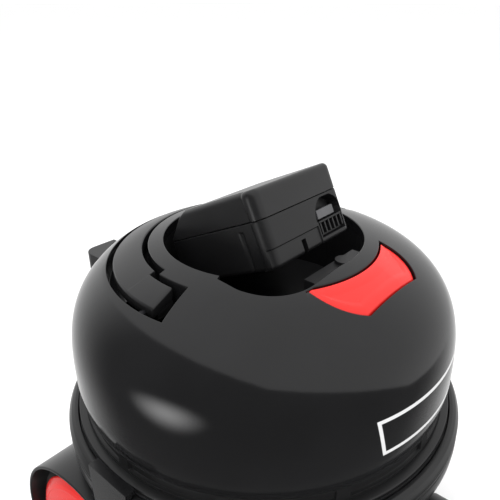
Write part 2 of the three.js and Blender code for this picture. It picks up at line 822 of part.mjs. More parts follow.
function dustBag() {
  const foot = tubBottom + 6;
  const girth = wheelInnerFace - 17;
  return piece('dust_bag', turned([
    [0, foot], [girth - 24, foot], [girth - 11, foot + 16], [girth, foot + 32], [girth - 6, foot + 50],
    [0, foot + 56],
  ], 40), whiteCloth);
}

// ---- wheels ----
// Each is turned round the axle: radius, then the distance from the middle of the machine.
function wheelAxle(side) {
  const collar = wheelInnerFace - wellGap - wall - fitGap;
  const nut = rimOuterFace + 0.4;
  const end = nut + 2.6;
  return turnedOnAxle([
    [0, collar - 7], [axleRadius + 4, collar - 7], [axleRadius + 4, collar], [axleRadius, collar],
    [axleRadius, nut], [axleRadius + 3, nut], [axleRadius + 3, end], [0, end],
  ], side, smallSteps);
}

function wheelRim(side) {
  const bore = axleRadius + fitGap;
  const hub = 14;
  const web = rimSeat - 7.7;
  return turnedOnAxle([
    [bore, rimInnerFace - 2], [hub, rimInnerFace - 2], [web, rimInnerFace + 6], [web, rimInnerFace],
    [rimSeat, rimInnerFace], [rimSeat, rimOuterFace], [web, rimOuterFace], [web, rimInnerFace + 13],
    [hub, rimOuterFace], [bore, rimOuterFace], [bore, rimInnerFace - 2],
  ], side, driveSteps);
}

function wheelTyre(side) {
  const seat = rimSeat + fitGap;
  const shoulder = 6;
  const edge = 1.5;
  return turnedOnAxle([
    [seat, rimInnerFace], [wheelRadius - shoulder, wheelInnerFace],
    [wheelRadius - edge, wheelInnerFace + edge], [wheelRadius, wheelInnerFace + shoulder],
    [wheelRadius, wheelOuterFace - shoulder], [wheelRadius - edge, wheelOuterFace - edge],
    [wheelRadius - shoulder, wheelOuterFace], [seat, rimOuterFace], [seat, rimInnerFace],
  ], side, driveSteps);
}

function hubCap(side) {
  const face = wheelOuterFace + fitGap;
  return turnedOnAxle([
    [0, face], [hubCapRadius, face], [hubCapRadius, face + 1.5],
    [hubCapRadius - 5, face + 0.6 * hubCapDepth], [hubCapRadius / 2, face + 0.9 * hubCapDepth],
    [0, face + hubCapDepth],
  ], side, driveSteps);
}

function wheelPieces(word, side) {
  return group([
    piece(`wheel_axle_${word}`, wheelAxle(side), steel),
    piece(`wheel_rim_${word}`, wheelRim(side), matt),
    piece(`wheel_tyre_${word}`, wheelTyre(side), rubber),
    piece(`hub_cap_${word}`, hubCap(side), red),
  ], 0, wheelY, wheelRadius);
}

function castorPinBody(grow) {
  const reach = 13.5 + grow;
  return cylinderX(castorPinRadius + grow, -reach, reach, castorTrail, castorRadius, pinSteps);
}

function castorFork() {
  const outer = 12;
  const plateBottom = tubBottom - 5;
  const plateTop = tubBottom - 1;
  const plate = box(-outer, outer, -9, castorTrail + 7, plateBottom, plateTop);
  const stem = cylinder(castorStemRadius, plateTop - 1, tubBottom + 16);
  const cheek = box(outer - 3.6, outer, castorTrail - 6, castorTrail + 6, castorRadius - 5, plateBottom + 1);
  return plate.add(stem).add(onBothSides(cheek)).subtract(castorPinBody(fitGap));
}

function castorWheel(side) {
  const bore = castorPinRadius + fitGap;
  const half = 7.5;
  const edge = 2;
  return turnedOnAxle([
    [bore, -half], [castorRadius - edge, -half], [castorRadius, edge - half + 0.5],
    [castorRadius, half - edge - 0.5], [castorRadius - edge, half], [bore, half], [bore, -half],
  ], side, driveSteps).translate([0, castorTrail, castorRadius]);
}

function castorPieces(word, side) {
  return group([
    piece(`castor_fork_${word}`, castorFork(), matt),
    piece(`castor_wheel_${word}`, castorWheel(side), rubber),
    piece(`castor_pin_${word}`, castorPinBody(0), steel),
  ], side * castorX, -castorY, 0);
}

// ---- assembly ----
function battery() {
  return [batteryLowerCase(), batteryUpperCase(), cellPack(), batteryTab(), batteryComb(), ejectorPlate()];
}

const tilting = group(battery(), 0, hingeY, hingeHeight);
tilting.rotation.x = -batteryTilt * degree;

const head = group([
  domeShell(), carryHandle(), handlePin('handle_pin_left', -1), handlePin('handle_pin_right', 1),
  releasePaddle(), paddleSpring(), latchBolt(), bayTray(), contactBlock(),
  contactBlade('contact_blade_left', 15.5), contactBlade('contact_blade_right', 22.5),
  ejectorPin(), ejectorSpring(), headBase(), headSeal(), motorHousing(), motorStator(), motorShaft(),
  fanImpeller(), controlBoard(), boardPost('board_post_front', -28), boardPost('board_post_rear', 28),
  wandDock(), dockScrew('dock_screw_left', -1), dockScrew('dock_screw_right', 1), tilting,
  tubRing(), sideClamp('side_clamp_left', -1), sideClamp('side_clamp_right', 1),
  clampPin('clamp_pin_left', -1), clampPin('clamp_pin_right', 1), filterFrame(), filterCloth(),
], 0, 0, rimHeight);

const machine = group([
  head, tub(), hoseInlet(), inletSeal(), dustBag(),
  wheelPieces('left', -1), wheelPieces('right', 1), castorPieces('left', -1), castorPieces('right', 1),
], 0, axisY, 0);

export default machine;
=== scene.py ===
import bpy
import bmesh
import json
import math
import numpy as np
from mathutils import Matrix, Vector


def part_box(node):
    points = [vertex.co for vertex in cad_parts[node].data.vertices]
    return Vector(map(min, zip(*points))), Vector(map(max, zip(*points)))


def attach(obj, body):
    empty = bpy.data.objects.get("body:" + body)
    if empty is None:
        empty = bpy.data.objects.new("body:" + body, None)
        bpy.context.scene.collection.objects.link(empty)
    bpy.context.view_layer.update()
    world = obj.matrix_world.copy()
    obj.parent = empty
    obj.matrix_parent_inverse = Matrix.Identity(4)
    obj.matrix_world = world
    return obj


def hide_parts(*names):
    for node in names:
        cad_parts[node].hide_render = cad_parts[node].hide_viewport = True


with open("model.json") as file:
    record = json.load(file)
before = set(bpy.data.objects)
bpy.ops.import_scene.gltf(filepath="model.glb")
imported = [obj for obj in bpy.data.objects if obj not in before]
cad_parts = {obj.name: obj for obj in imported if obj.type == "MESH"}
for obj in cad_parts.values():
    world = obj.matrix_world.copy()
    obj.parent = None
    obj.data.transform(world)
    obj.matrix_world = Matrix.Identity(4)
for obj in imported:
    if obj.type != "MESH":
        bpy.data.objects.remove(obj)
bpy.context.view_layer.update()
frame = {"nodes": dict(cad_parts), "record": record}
print("stage: frame loaded,", len(frame["nodes"]), "nodes")

# everything below is worked out in millimetres from the dome's own axis and rim
domeLow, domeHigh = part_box("dome_shell")
axisY = (domeLow[1] + domeHigh[1]) / 2 * 1000
rimZ = domeLow[2] * 1000
degree = math.pi / 180


# meshes
def toWorld(points):
    # axis-and-rim millimetres to metres in the frame
    return (np.asarray(points, float) + [0, axisY, rimZ]) / 1000


def weld(points, quads):
    # points closer than a micrometre become one, and faces that lose a corner become triangles or go
    rounded = np.round(points * 1e6).astype(np.int64)
    first, back = np.unique(rounded, axis=0, return_index=True, return_inverse=True)[1:]
    quads = back.reshape(-1)[quads]
    same = quads == np.roll(quads, -1, axis=1)
    whole = quads[~same.any(axis=1)]
    thin = quads[same.sum(axis=1) == 1]
    keep = ~(thin == np.roll(thin, -1, axis=1))
    corners = thin[keep].reshape(-1, 3)
    return points[first], whole.tolist() + corners.tolist()


def gridQuads(rows, columns, closeRows, closeColumns):
    # faces between neighbouring grid points, joined round where a direction is closed
    i = np.arange(rows if closeRows else rows - 1)[:, None]
    j = np.arange(columns if closeColumns else columns - 1)[None, :]
    down, along = (i + 1) % rows, (j + 1) % columns
    return np.stack([i * columns + j, i * columns + along, down * columns + along, down * columns + j],
                    axis=-1).reshape(-1, 4)


def signedVolume(points, faces):
    # sum of the tetrahedra from the origin to each triangle of the fans
    fans = np.array([[f[0], f[k], f[k + 1]] for f in faces for k in range(1, len(f) - 1)])
    a, b, c = points[fans[:, 0]], points[fans[:, 1]], points[fans[:, 2]]
    return float(np.einsum("ij,ij->i", a, np.cross(b, c)).sum())


def placed(name, data):
    thing = bpy.data.objects.new(name, data)
    bpy.context.collection.objects.link(thing)
    return thing


def finished(name, parts, body, slotName, stands, sharp=40):
    # parts is a list of (points in metres, faces); each is a closed surface, turned to face outwards
    # the piece gets the finish of its slot
    points, faces, start = [], [], 0
    for somePoints, someFaces in parts:
        middle = somePoints.mean(axis=0)
        if signedVolume(somePoints - middle, someFaces) < 0:
            someFaces = [f[::-1] for f in someFaces]
        points.append(somePoints)
        faces += [[v + start for v in f] for f in someFaces]
        start += len(somePoints)
    mesh = bpy.data.meshes.new(name)
    mesh.from_pydata(np.concatenate(points).tolist(), [], faces)
    mesh.update()
    mesh.shade_smooth()
    if sharp:
        mesh.set_sharp_from_angle(angle=sharp * degree)
    piece = placed(name, mesh)
    mesh.materials.append(finishes[slotName])
    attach(piece, body)
    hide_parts(*stands)
    return piece


def surface(grid, closeRows=True, closeColumns=True):
    # a grid of points, rows x columns x 3 in axis-and-rim millimetres, as a welded closed part
    rows, columns = grid.shape[:2]
    return weld(toWorld(grid).reshape(-1, 3), gridQuads(rows, columns, closeRows, closeColumns))


def roundAxis(radius, turn, height, closeRows=True, closeColumns=True):
    # a closed part from radius and height at each turn, in radians, round the vertical axis
    grid = np.stack([radius * np.cos(turn), radius * np.sin(turn), height + 0 * turn], axis=-1)
    return surface(grid, closeRows, closeColumns)


def fullTurn(steps):
    return np.linspace(0, 2 * math.pi, steps, endpoint=False)


def filleted(corners, radius, steps=4):
    # each corner C becomes the curve (1-t)^2 A + 2t(1-t) C + t^2 B between points A and B on its two edges
    corner = np.asarray(corners, float)
    before, after = np.roll(corner, 1, axis=0) - corner, np.roll(corner, -1, axis=0) - corner
    toBefore, toAfter = np.linalg.norm(before, axis=1), np.linalg.norm(after, axis=1)
    reach = np.minimum(radius, 0.45 * np.minimum(toBefore, toAfter)) * (corner[:, 0] > 1e-6)
    a = corner + before * (reach / toBefore)[:, None]
    b = corner + after * (reach / toAfter)[:, None]
    t = np.linspace(0, 1, steps + 1)[None, :, None]
    curve = (1 - t) ** 2 * a[:, None] + 2 * t * (1 - t) * corner[:, None] + t ** 2 * b[:, None]
    return curve.reshape(-1, 2)


def turnedAcross(profile, middle, steps, ripple=None):
    # a closed outline of (radius, x) round an axle along X; ripple(turn, x, radius) adds to the radius
    turn = fullTurn(steps)
    profile = np.asarray(profile, float)
    radius, reach = profile[:, :1] + 0 * turn, profile[:, 1:] + 0 * turn
    if ripple:
        radius = radius + ripple(turn[None, :], reach, radius)
    y, z = middle
    return surface(np.stack([reach, y + radius * np.cos(turn), z + radius * np.sin(turn)], axis=-1))


# shader maths
def mathsNode(operation):
    # a method of Socket that adds one Math node
    return lambda socket, *others: socket.maths(operation, *others)


class Socket:
    # wraps a node output, so that sums and products of sockets add their Math nodes
    def __init__(self, shader, out):
        self.shader, self.out = shader, out

    def maths(self, operation, *others):
        values = dict(enumerate((self, *others)))
        return self.shader.node("ShaderNodeMath", {"operation": operation}, values)

    def __rsub__(self, other):
        return self.shader.node("ShaderNodeMath", {"operation": "SUBTRACT"}, {0: other, 1: self})

    __add__ = __radd__ = mathsNode("ADD")
    __mul__ = __rmul__ = mathsNode("MULTIPLY")
    __sub__, __truediv__ = mathsNode("SUBTRACT"), mathsNode("DIVIDE")
    most, least, size = mathsNode("MAXIMUM"), mathsNode("MINIMUM"), mathsNode("ABSOLUTE")

    def ramp(self, low, high, start=0.0, end=1.0):
        # start below low, end above high, and a smooth change between them
        return self.shader.node("ShaderNodeMapRange", {"interpolation_type": "SMOOTHSTEP"}, {
            "Value": self, "From Min": low, "From Max": high, "To Min": start, "To Max": end})


class Shader:
    def __init__(self, name, world=False):
        self.material = (bpy.data.worlds if world else bpy.data.materials).new(name)
        self.material.use_nodes = True
        self.tree = self.material.node_tree
        self.main = self.tree.nodes["Background" if world else "Principled BSDF"]
        self.place = self.node("ShaderNodeTexCoord", {}, {}, "Generated" if world else "Object")

    def node(self, kind, settings, inputs, output=0):
        made = self.tree.nodes.new(kind)
        for key, value in settings.items():
            setattr(made, key, value)
        for key, value in inputs.items():
            self.feed(made.inputs[key], value)
        return Socket(self, made.outputs[output])

    def feed(self, put, value):
        # a link or a plain value; a colour of three numbers gets its alpha
        if isinstance(value, Socket):
            self.tree.links.new(value.out, put)
        else:
            put.default_value = (*value, 1) if put.type == "RGBA" and len(value) == 3 else value

    def noise(self, size, detail=2.0, rough=0.5, stretch=None):
        place = self.place
        if stretch:
            place = self.node("ShaderNodeMapping", {}, {"Vector": place, "Scale": stretch})
        return self.node("ShaderNodeTexNoise", {}, {
            "Vector": place, "Scale": 1 / size, "Detail": detail, "Roughness": rough})

    def mix(self, factor, low, high):
        return self.node("ShaderNodeMix", {"data_type": "RGBA"}, {0: factor, 6: low, 7: high}, 2)

    def split(self, vector):
        made = self.tree.nodes.new("ShaderNodeSeparateXYZ")
        self.tree.links.new(vector.out, made.inputs[0])
        return [Socket(self, made.outputs[k]) for k in range(3)]

    def edgeHighlightAndWear(self, radius):
        # 0 on open faces, towards 1 where the rounded normal leaves the true one; it marks edges to paint
        # lighter as a highlight, partly as wear, and to make rougher as wear
        soft = self.node("ShaderNodeBevel", {"samples": 4}, {"Radius": radius})
        true = self.node("ShaderNodeNewGeometry", {}, {}, "Normal")
        dot = self.node("ShaderNodeVectorMath", {"operation": "DOT_PRODUCT"}, {0: soft, 1: true}, "Value")
        return (1 - dot).ramp(0.01, 0.2)

    def finish(self, colour, rough, height=None, depth=0.0, **fixed):
        fixed.update({"Base Color": colour, "Roughness": rough})
        if height is not None:
            fixed["Normal"] = self.node(
                "ShaderNodeBump", {}, {"Height": height, "Distance": depth, "Strength": 1.0})
        for key, value in fixed.items():
            self.feed(self.main.inputs[key], value)
        return self.material


def scaled(colour, by):
    return tuple(min(1.0, c * by) for c in colour)


def mouldedPlastic(name, colour, rough, depth=0.00002, highlightAndWearTint=1.6, smudge=0.08, mottle=0.14):
    s = Shader(name)
    clouds = s.noise(0.05, 4)
    hairs = s.noise(0.004, 3, 0.6, (1, 1, 7))
    highlitAndWorn = s.edgeHighlightAndWear(0.0008)
    body = s.mix(clouds.ramp(0.35, 0.65), scaled(colour, 1 - mottle), scaled(colour, 1 + mottle))
    # painted highlight: edges lighter by the given factor, broken up by clouds like rubbed wear
    shown = s.mix(highlitAndWorn * clouds.ramp(0.2, 0.6, 0.35, 1.0), body, scaled(colour, highlightAndWearTint))
    gloss = rough + (clouds - 0.5) * smudge + hairs.ramp(0.6, 0.75) * smudge * 0.5 + highlitAndWorn * 0.06
    relief = s.noise(0.0007, 2, 0.6) + clouds * 0.5
    return s.finish(shown, gloss, relief, depth)


def domeFinish(look):
    # glossy moulding with a plain outlined panel low on its front
    s = Shader("domeBlack")
    colour = look["colour"]
    clouds = s.noise(0.06, 4)
    highlitAndWorn = s.edgeHighlightAndWear(0.0009)
    x, y, z = s.split(s.place)
    behind = y * 1000 - axisY
    turn = s.node("ShaderNodeMath", {"operation": "ARCTAN2"}, {0: x * 1000, 1: behind * -1})
    along = turn * look["panelRadius"]
    tall = z * 1000 - rimZ - look["panelHeight"]
    across = (along + tall * look["panelLean"]).size() - look["panelHalf"]
    apart = across.most(tall.size() - look["panelTall"])
    outline = (apart.size()).ramp(look["panelLine"], look["panelLine"] + 0.3, 1.0, 0.0)
    body = s.mix(clouds.ramp(0.35, 0.65), scaled(colour, 0.9), scaled(colour, 1.1))
    # painted highlight: edges up to 2.2 times lighter, partly as wear
    body = s.mix(highlitAndWorn * 0.8, body, scaled(colour, 2.2))
    shown = s.mix(outline, body, look["panelColour"])
    gloss = look["rough"] + (clouds - 0.5) * 0.05 + highlitAndWorn * 0.08 + outline * 0.15
    relief = s.noise(0.0009, 2, 0.6) + s.noise(0.012, 2) * 2
    return s.finish(shown, gloss, relief, 0.000012, **{"Specular IOR Level": look["gloss"]})


def steelFinish(name, colour, rough):
    s = Shader(name)
    brush = s.noise(0.0015, 3, 0.6, (1, 1, 0.05))
    clouds = s.noise(0.02, 3)
    shown = s.mix(clouds, scaled(colour, 0.8), scaled(colour, 1.1))
    return s.finish(shown, rough + brush * 0.15, brush, 0.00002, Metallic=1.0)


def rubberFinish(name, colour):
    s = Shader(name)
    dust = s.noise(0.012, 5, 0.65)
    shown = s.mix(dust.ramp(0.5, 0.75), colour, scaled(colour, 2.4))
    return s.finish(shown, 0.78 + dust * 0.15, s.noise(0.0006, 3) + dust * 2, 0.00004)


def clothFinish(name, colour):
    # non-woven cloth: pressed dots in rows, on tangled fibres
    s = Shader(name)
    x, y, z = s.split(s.place)
    waves = [(v * (2 * math.pi / 0.0022)).maths("SINE") for v in (x + z * 0.7, y - z * 0.7)]
    dots = (waves[0] * waves[1]).ramp(0.3, 0.8)
    fibres = s.noise(0.0012, 4, 0.7, (1, 3, 1))
    soil = s.noise(0.035, 4)
    shown = s.mix(soil.ramp(0.4, 0.75), colour, scaled(colour, 0.8))
    shown = s.mix(dots * 0.5, shown, scaled(colour, 0.72))
    return s.finish(shown, 0.95, fibres - dots * 0.8, 0.0002)


def boardFinish(name):
    # green laminate with copper tracks under the mask
    s = Shader(name)
    tracks = s.node("ShaderNodeTexBrick", {"offset": 0.35}, {
        "Vector": s.place, "Scale": 110.0, "Mortar Size": 0.06,
        "Color1": (0, 0, 0, 1), "Color2": (0, 0, 0, 1), "Mortar": (1, 1, 1, 1)}, "Fac")
    shown = s.mix(tracks, (0.012, 0.10, 0.04), (0.03, 0.2, 0.08))
    return s.finish(shown, 0.35 + tracks * 0.1, tracks, 0.00005)


domeLook = {
    "colour": (0.008, 0.008, 0.0085), "rough": 0.11, "gloss": 0.5, "panelRadius": 147, "panelHeight": 33,
    "panelHalf": 55, "panelTall": 13, "panelLean": 0.25, "panelLine": 1.2, "panelColour": (0.8, 0.8, 0.8),
}
finishes = {
    "dark_steel": steelFinish("darkSteel", (0.05, 0.05, 0.055), 0.35),
    "dome_black": domeFinish(domeLook),
    "satin_black": mouldedPlastic("satinBlack", (0.011, 0.011, 0.0115), 0.3),
    "matt_black": mouldedPlastic("mattBlack", (0.007, 0.007, 0.0075), 0.42, depth=0.00004),
    "signal_red": mouldedPlastic("signalRed", (0.80, 0.022, 0.018), 0.26, highlightAndWearTint=1.1, smudge=0.03, mottle=0.02),
    "tab_grey": mouldedPlastic("tabGrey", (0.10, 0.10, 0.105), 0.42),
    "black_rubber": rubberFinish("blackRubber", (0.011, 0.011, 0.012)),
    "tyre_rubber": rubberFinish("tyreRubber", (0.014, 0.014, 0.015)),
    "bright_steel": steelFinish("brightSteel", (0.60, 0.61, 0.62), 0.22),
    "contact_copper": steelFinish("contactCopper", (0.72, 0.36, 0.20), 0.3),
    "board_green": boardFinish("boardGreen"),
    "cell_wrap": mouldedPlastic("cellWrap", (0.04, 0.12, 0.26), 0.4),
    "white_cloth": clothFinish("whiteCloth", (0.70, 0.68, 0.64)),
}
print("stage: finishes made")


# dome
domeSize = {
    "rim": 145.0, "bulge": 147.8, "bulgeHeight": 20.7, "crown": 96.3, "planPower": 2.5, "risePower": 3.25,
    "opening": 74.6, "scoopHalf": 74.0, "scoopCorner": 37.0, "scoopBack": 24.0, "scoopFloor": 86.0,
    "recessInner": 86.0, "recessTongueInner": 90.8, "recessOuter": 116.6, "recessDepth": 14.0,
    "recessEndDepth": 26.0, "recessEnd": -8.5, "recessStep": 9.0, "recessShallow": 17.0,
    "pocketInner": 85.4, "pocketHalfAngle": 33.0, "pocketCorner": (30.7, 110.1), "pocketBulge": (49.0, 97.0),
    "pocketCornerAngle": 15.6, "pocketMiddle": 86, "recessMiddle": 100, "pocketFloor": 77.4, "wall": 3.0,
    "edge": 0.7, "lipBottom": 105.2, "crownEnd": 118.6, "innerLimit": 121,
    # inner side: radius, and how many wall thicknesses it lies below the skin
    "innerSide": [(125, 1.3), (133, 1.5), (139, 1.9), (142.6, 3)], "innerFoot": (144, 20),
}


def skin(radius):
    # crown of the dome: a superellipse in the radius and the height
    d = domeSize
    inside = np.clip(1 - (np.asarray(radius, float) / d["bulge"]) ** d["planPower"], 0, 1)
    return d["bulgeHeight"] + d["crown"] * inside ** (1 / d["risePower"])


def drop(inside, depth, edge, lean=0.3):
    # how far a floor lies below the skin, at a distance inside its outline: round edge, wall, round foot
    e = np.minimum(edge, depth / 2)
    top = e - np.sqrt(np.clip(e ** 2 - (inside + e) ** 2, 0, None))
    side = e + (depth - 2 * e) * inside / lean
    foot = depth - e + np.sqrt(np.clip(e ** 2 - (lean + e - inside) ** 2, 0, None))
    zones = [inside <= -e, inside < 0, inside <= lean, inside < lean + e]
    return np.select(zones, [0 * inside, top, side, foot], depth + 0 * inside)


def fromFront(turn):
    # angle from the front, -Y, in degrees, between -180 and 180, positive towards +X
    return (turn + 90 + 180) % 360 - 180


def pocketOuter(turn):
    # outline of the paddle's pocket as a radius: straight front edge, then a bowed side to the inner arc
    d = domeSize
    cornerX, cornerY = d["pocketCorner"]
    bulgeX, bulgeY = d["pocketBulge"]
    half = d["pocketHalfAngle"] * degree
    startX, startY = d["pocketInner"] * math.sin(half), d["pocketInner"] * math.cos(half)
    t = np.linspace(0, 1, 200)
    sideX = (1 - t) ** 2 * startX + 2 * t * (1 - t) * bulgeX + t ** 2 * cornerX
    sideY = (1 - t) ** 2 * startY + 2 * t * (1 - t) * bulgeY + t ** 2 * cornerY
    angle, radius = np.arctan2(sideX, sideY), np.hypot(sideX, sideY)
    away = np.abs(fromFront(turn)) * degree
    flat = cornerY / np.cos(np.minimum(away, half))
    side = np.interp(away, angle[::-1], radius[::-1], right=d["pocketInner"])
    return np.where(away < angle[-1], flat, side)


def openingEdge(turn):
    # the round opening, widened to the squared corner on one side
    d = domeSize
    c, s = np.cos(turn * degree), np.sin(turn * degree)
    half, corner = d["scoopHalf"], d["scoopCorner"]
    centre = half - corner
    along = -(c + s) * centre
    arc = along + np.sqrt(np.clip(along ** 2 - 2 * centre ** 2 + corner ** 2, 0, None))
    straight = half / np.maximum(np.maximum(-c, -s), 1e-6)
    arcSide = (-c * arc > centre) & (-s * arc > centre)
    square = np.where(arcSide, arc, straight)
    inCorner = (c < 0) & (s < 0) & (-s * square > d["scoopBack"])
    return np.where(inCorner, np.maximum(square, d["opening"]), d["opening"])


def domeColumns():
    # angles round the axis, close together where an outline turns or steps
    d = domeSize
    tight = np.array([-1.4, -1.0, -0.7, -0.5, -0.3, -0.12, 0, 0.1, 0.2, 0.3, 0.45, 0.7, 1.0, 1.4])
    tight = tight / 100 / degree
    parts = [np.arange(0, 360, 1.0)]
    for at in (d["recessEnd"], d["recessStep"], d["recessShallow"]):
        parts += [at + tight, 180 - at + tight]
    back = 180 + math.degrees(math.asin(d["scoopBack"] / d["scoopHalf"] * 0.955))
    parts += [back + tight, np.arange(back, 262, 0.6)]
    for sign in (-1, 1):
        parts += [270 + sign * (d["pocketHalfAngle"] + tight), 270 + sign * np.arange(23.0, 33.5, 0.22),
                  270 + sign * (d["pocketCornerAngle"] + tight)]
    return np.unique(np.round(np.concatenate(parts) % 360, 3))


def domeShape():
    # k1 and k2 are the outer and inner outline of the recess, or of the pocket, and k3 is the opening's
    d = domeSize
    edge = d["edge"]
    turn = domeColumns()
    away = np.abs(fromFront(turn))
    recessSpan = 90 - d["recessEnd"]
    fromRear = 180 - away
    # millimetres inside the end walls of the recess and the pocket
    inRecess = (recessSpan - fromRear) * degree * d["recessMiddle"]
    inPocket = (d["pocketHalfAngle"] - away) * degree * d["pocketMiddle"]
    k3 = openingEdge(turn)
    recessInner, recessDepth = (
        d[end] + (d[main] - d[end]) * np.clip(((90 - d[at]) - fromRear) / 0.4 + 0.5, 0, 1)
        for end, main, at in (("recessTongueInner", "recessInner", "recessStep"),
                              ("recessEndDepth", "recessDepth", "recessShallow")))
    rear = inRecess > -3
    front = away < d["pocketHalfAngle"] + 1
    blend = np.clip((fromRear - recessSpan - 2) / (180 - d["pocketHalfAngle"] - recessSpan - 3), 0, 1)
    toPocket = d["recessOuter"] + (d["pocketInner"] + 2 - d["recessOuter"]) * blend
    k1 = np.where(rear, d["recessOuter"], toPocket)
    k1 = np.where(front, pocketOuter(turn), k1)
    k2 = d["recessTongueInner"] + (d["pocketInner"] - d["recessTongueInner"]) * blend
    k2 = np.where(rear, recessInner, k2)
    k2 = np.where(front, d["pocketInner"], k2)
    k2 = np.maximum(k2, k3 + 1.2)
    k1 = np.maximum(k1, k2 + 1.0)
    # rows: skirt, crown, and then lines at set distances from the three outlines
    t = np.linspace(0, 1, 8)
    skirtR = d["bulge"] - (d["bulge"] - d["rim"]) * (1 - t) ** 2
    skirtR = np.concatenate([[d["rim"] - 0.8, d["rim"] - 0.3], skirtR])
    skirtZ = np.concatenate([[0, 0.1], np.maximum(d["bulgeHeight"] * t, 0.5)])
    lift = np.linspace(0, 1, 30)[1:] * math.acos((d["crownEnd"] / d["bulge"]) ** (d["planPower"] / 2))
    crownR = d["bulge"] * np.cos(lift) ** (2 / d["planPower"])
    crownZ = d["bulgeHeight"] + d["crown"] * np.sin(lift) ** (2 / d["risePower"])
    outerR = np.concatenate([skirtR, crownR])[:, None] + 0 * turn
    outerZ = np.concatenate([skirtZ, crownZ])[:, None] + 0 * turn
    lines = np.array([-1.6, -1.0, -0.7, -0.6, -0.45, -0.25, -0.1, 0,
                      0.1, 0.2, 0.3, 0.45, 0.65, 0.85, 1.0, 1.3])
    start = outerR[-1]
    toK1 = start + (k1 + 1.6 - start) * np.linspace(0, 1, 10)[1:-1, None]
    squeeze, room = np.minimum(1, (k1 - k2) / 3.2), np.minimum(1, (k2 - k3) / 4)
    atK1 = k1 - lines[:, None] * squeeze
    atK2 = k2 + lines[::-1, None] * squeeze
    outside = lines[::-1] < 0
    atK2[outside] = k2 + (lines[::-1, None] * room)[outside]
    between = atK1[-1] + (atK2[0] - atK1[-1]) * np.linspace(0, 1, 14)[1:-1, None]
    atK3 = k3 - lines[:8, None] * room
    toK3 = atK2[-1] + (atK3[0] - atK2[-1]) * np.linspace(0, 1, 5)[1:-1, None]
    r = np.concatenate([toK1, atK1, between, atK2, toK3, atK3])
    z = skin(r)
    recess, pocket = (
        np.minimum.reduce([drop(inside, depth, edge) for inside in (k1 - r, r - k2, inEnd + 0 * r)])
        for depth, inEnd in ((recessDepth, inRecess), (z - d["pocketFloor"], inPocket)))
    short = np.clip(edge - (r - k3) / np.maximum(room, 0.3), 0, edge)
    openEdge = edge - np.sqrt(edge ** 2 - short ** 2)
    z = z - np.where(rear, recess, 0) - np.where(front & ~rear, pocket, 0) - openEdge
    # down the wall of the opening, over the floor of the squared corner, and down again
    wide = np.clip((k3 - d["opening"]) / 1.5, 0, 1)
    foot = d["lipBottom"] + (d["scoopFloor"] - d["lipBottom"]) * wide
    wallR = k3 - np.array([0.05, 0.15, 0.3, 0.5])[:, None] * wide
    wallZ = z[-1] + (foot + 0.6 - z[-1]) * np.array([0.1, 0.4, 0.8, 1.0])[:, None]
    floorR = d["opening"] + (wallR[-1] - d["opening"]) * np.linspace(1, 0, 7)[:, None]
    floorZ = foot - (1 - wide) * np.linspace(0, 0.3, 7)[:, None] + 0 * floorR
    underZ = foot - 2 - wide
    # back to the rim on the inside, one wall thickness under the outside
    wall = d["wall"]
    a = k3 + np.minimum(wall, (k2 - k3) / 3)
    b = k2 - np.minimum(wall, (k2 - k3) / 3)
    c = np.minimum(k1 + wall, d["innerLimit"])
    sunkRear = np.where(rear, recessDepth * (inRecess > -wall), 0)
    sunk = np.where(front & (inPocket > -1), skin(k2) - d["pocketFloor"], sunkRear)
    level = 0 * turn
    footR, footZ = d["innerFoot"]
    innerR = np.stack([d["opening"] + level, np.maximum(a, d["opening"] + 1), a, b, b, c, c,
                       *(at + level for at, walls in d["innerSide"]), footR + level,
                       d["rim"] - wall + level])
    innerZ = np.stack([underZ, underZ, skin(a) - wall, skin(b) - wall, skin(b) - wall - sunk,
                       skin(c) - wall - sunk, skin(c) - wall,
                       *(skin(at + level) - wall * walls for at, walls in d["innerSide"]),
                       footZ + level, level])
    innerR[4], innerR[5] = innerR[3], innerR[6]
    radius = np.concatenate([outerR, r, wallR, floorR, innerR])
    height = np.concatenate([outerZ, z, wallZ, floorZ, innerZ])
    return roundAxis(radius, turn * degree, height)


finished("domeShell", [domeShape()], "head", "dome_black", ["dome_shell"], sharp=50)
print("stage: dome")

# carry handle
handleSize = {"inner": 90.1, "tongueInner": 94.0, "outer": 112.0, "thick": 8.0, "inset": 0.5, "edge": 1.4,
              "end": -2.5, "step": 13.0, "middle": 105, "pivot": (3.5, 92.0), "boss": 8.5, "bore": 2.8}


def roundedLoop(halfWide, halfTall, edge, steps=5):
    # a rectangle with round corners as one loop, (across, up)
    corner = np.array([[1, 1], [-1, 1], [-1, -1], [1, -1]], float)
    angle = (np.linspace(0, 90, steps) + np.arange(4)[:, None] * 90) * degree
    loop = corner[:, None] * [halfWide - edge, halfTall - edge]
    loop = loop + edge * np.stack([np.cos(angle), np.sin(angle)], -1)
    return loop.reshape(-1, 2)


def closedEnds(rows):
    # the first and the last section shrink to a point each
    first, last = rows[:, :1] * 0 + rows[:, :1].mean(), rows[:, -1:] * 0 + rows[:, -1:].mean()
    return np.concatenate([first, rows, last], axis=1)


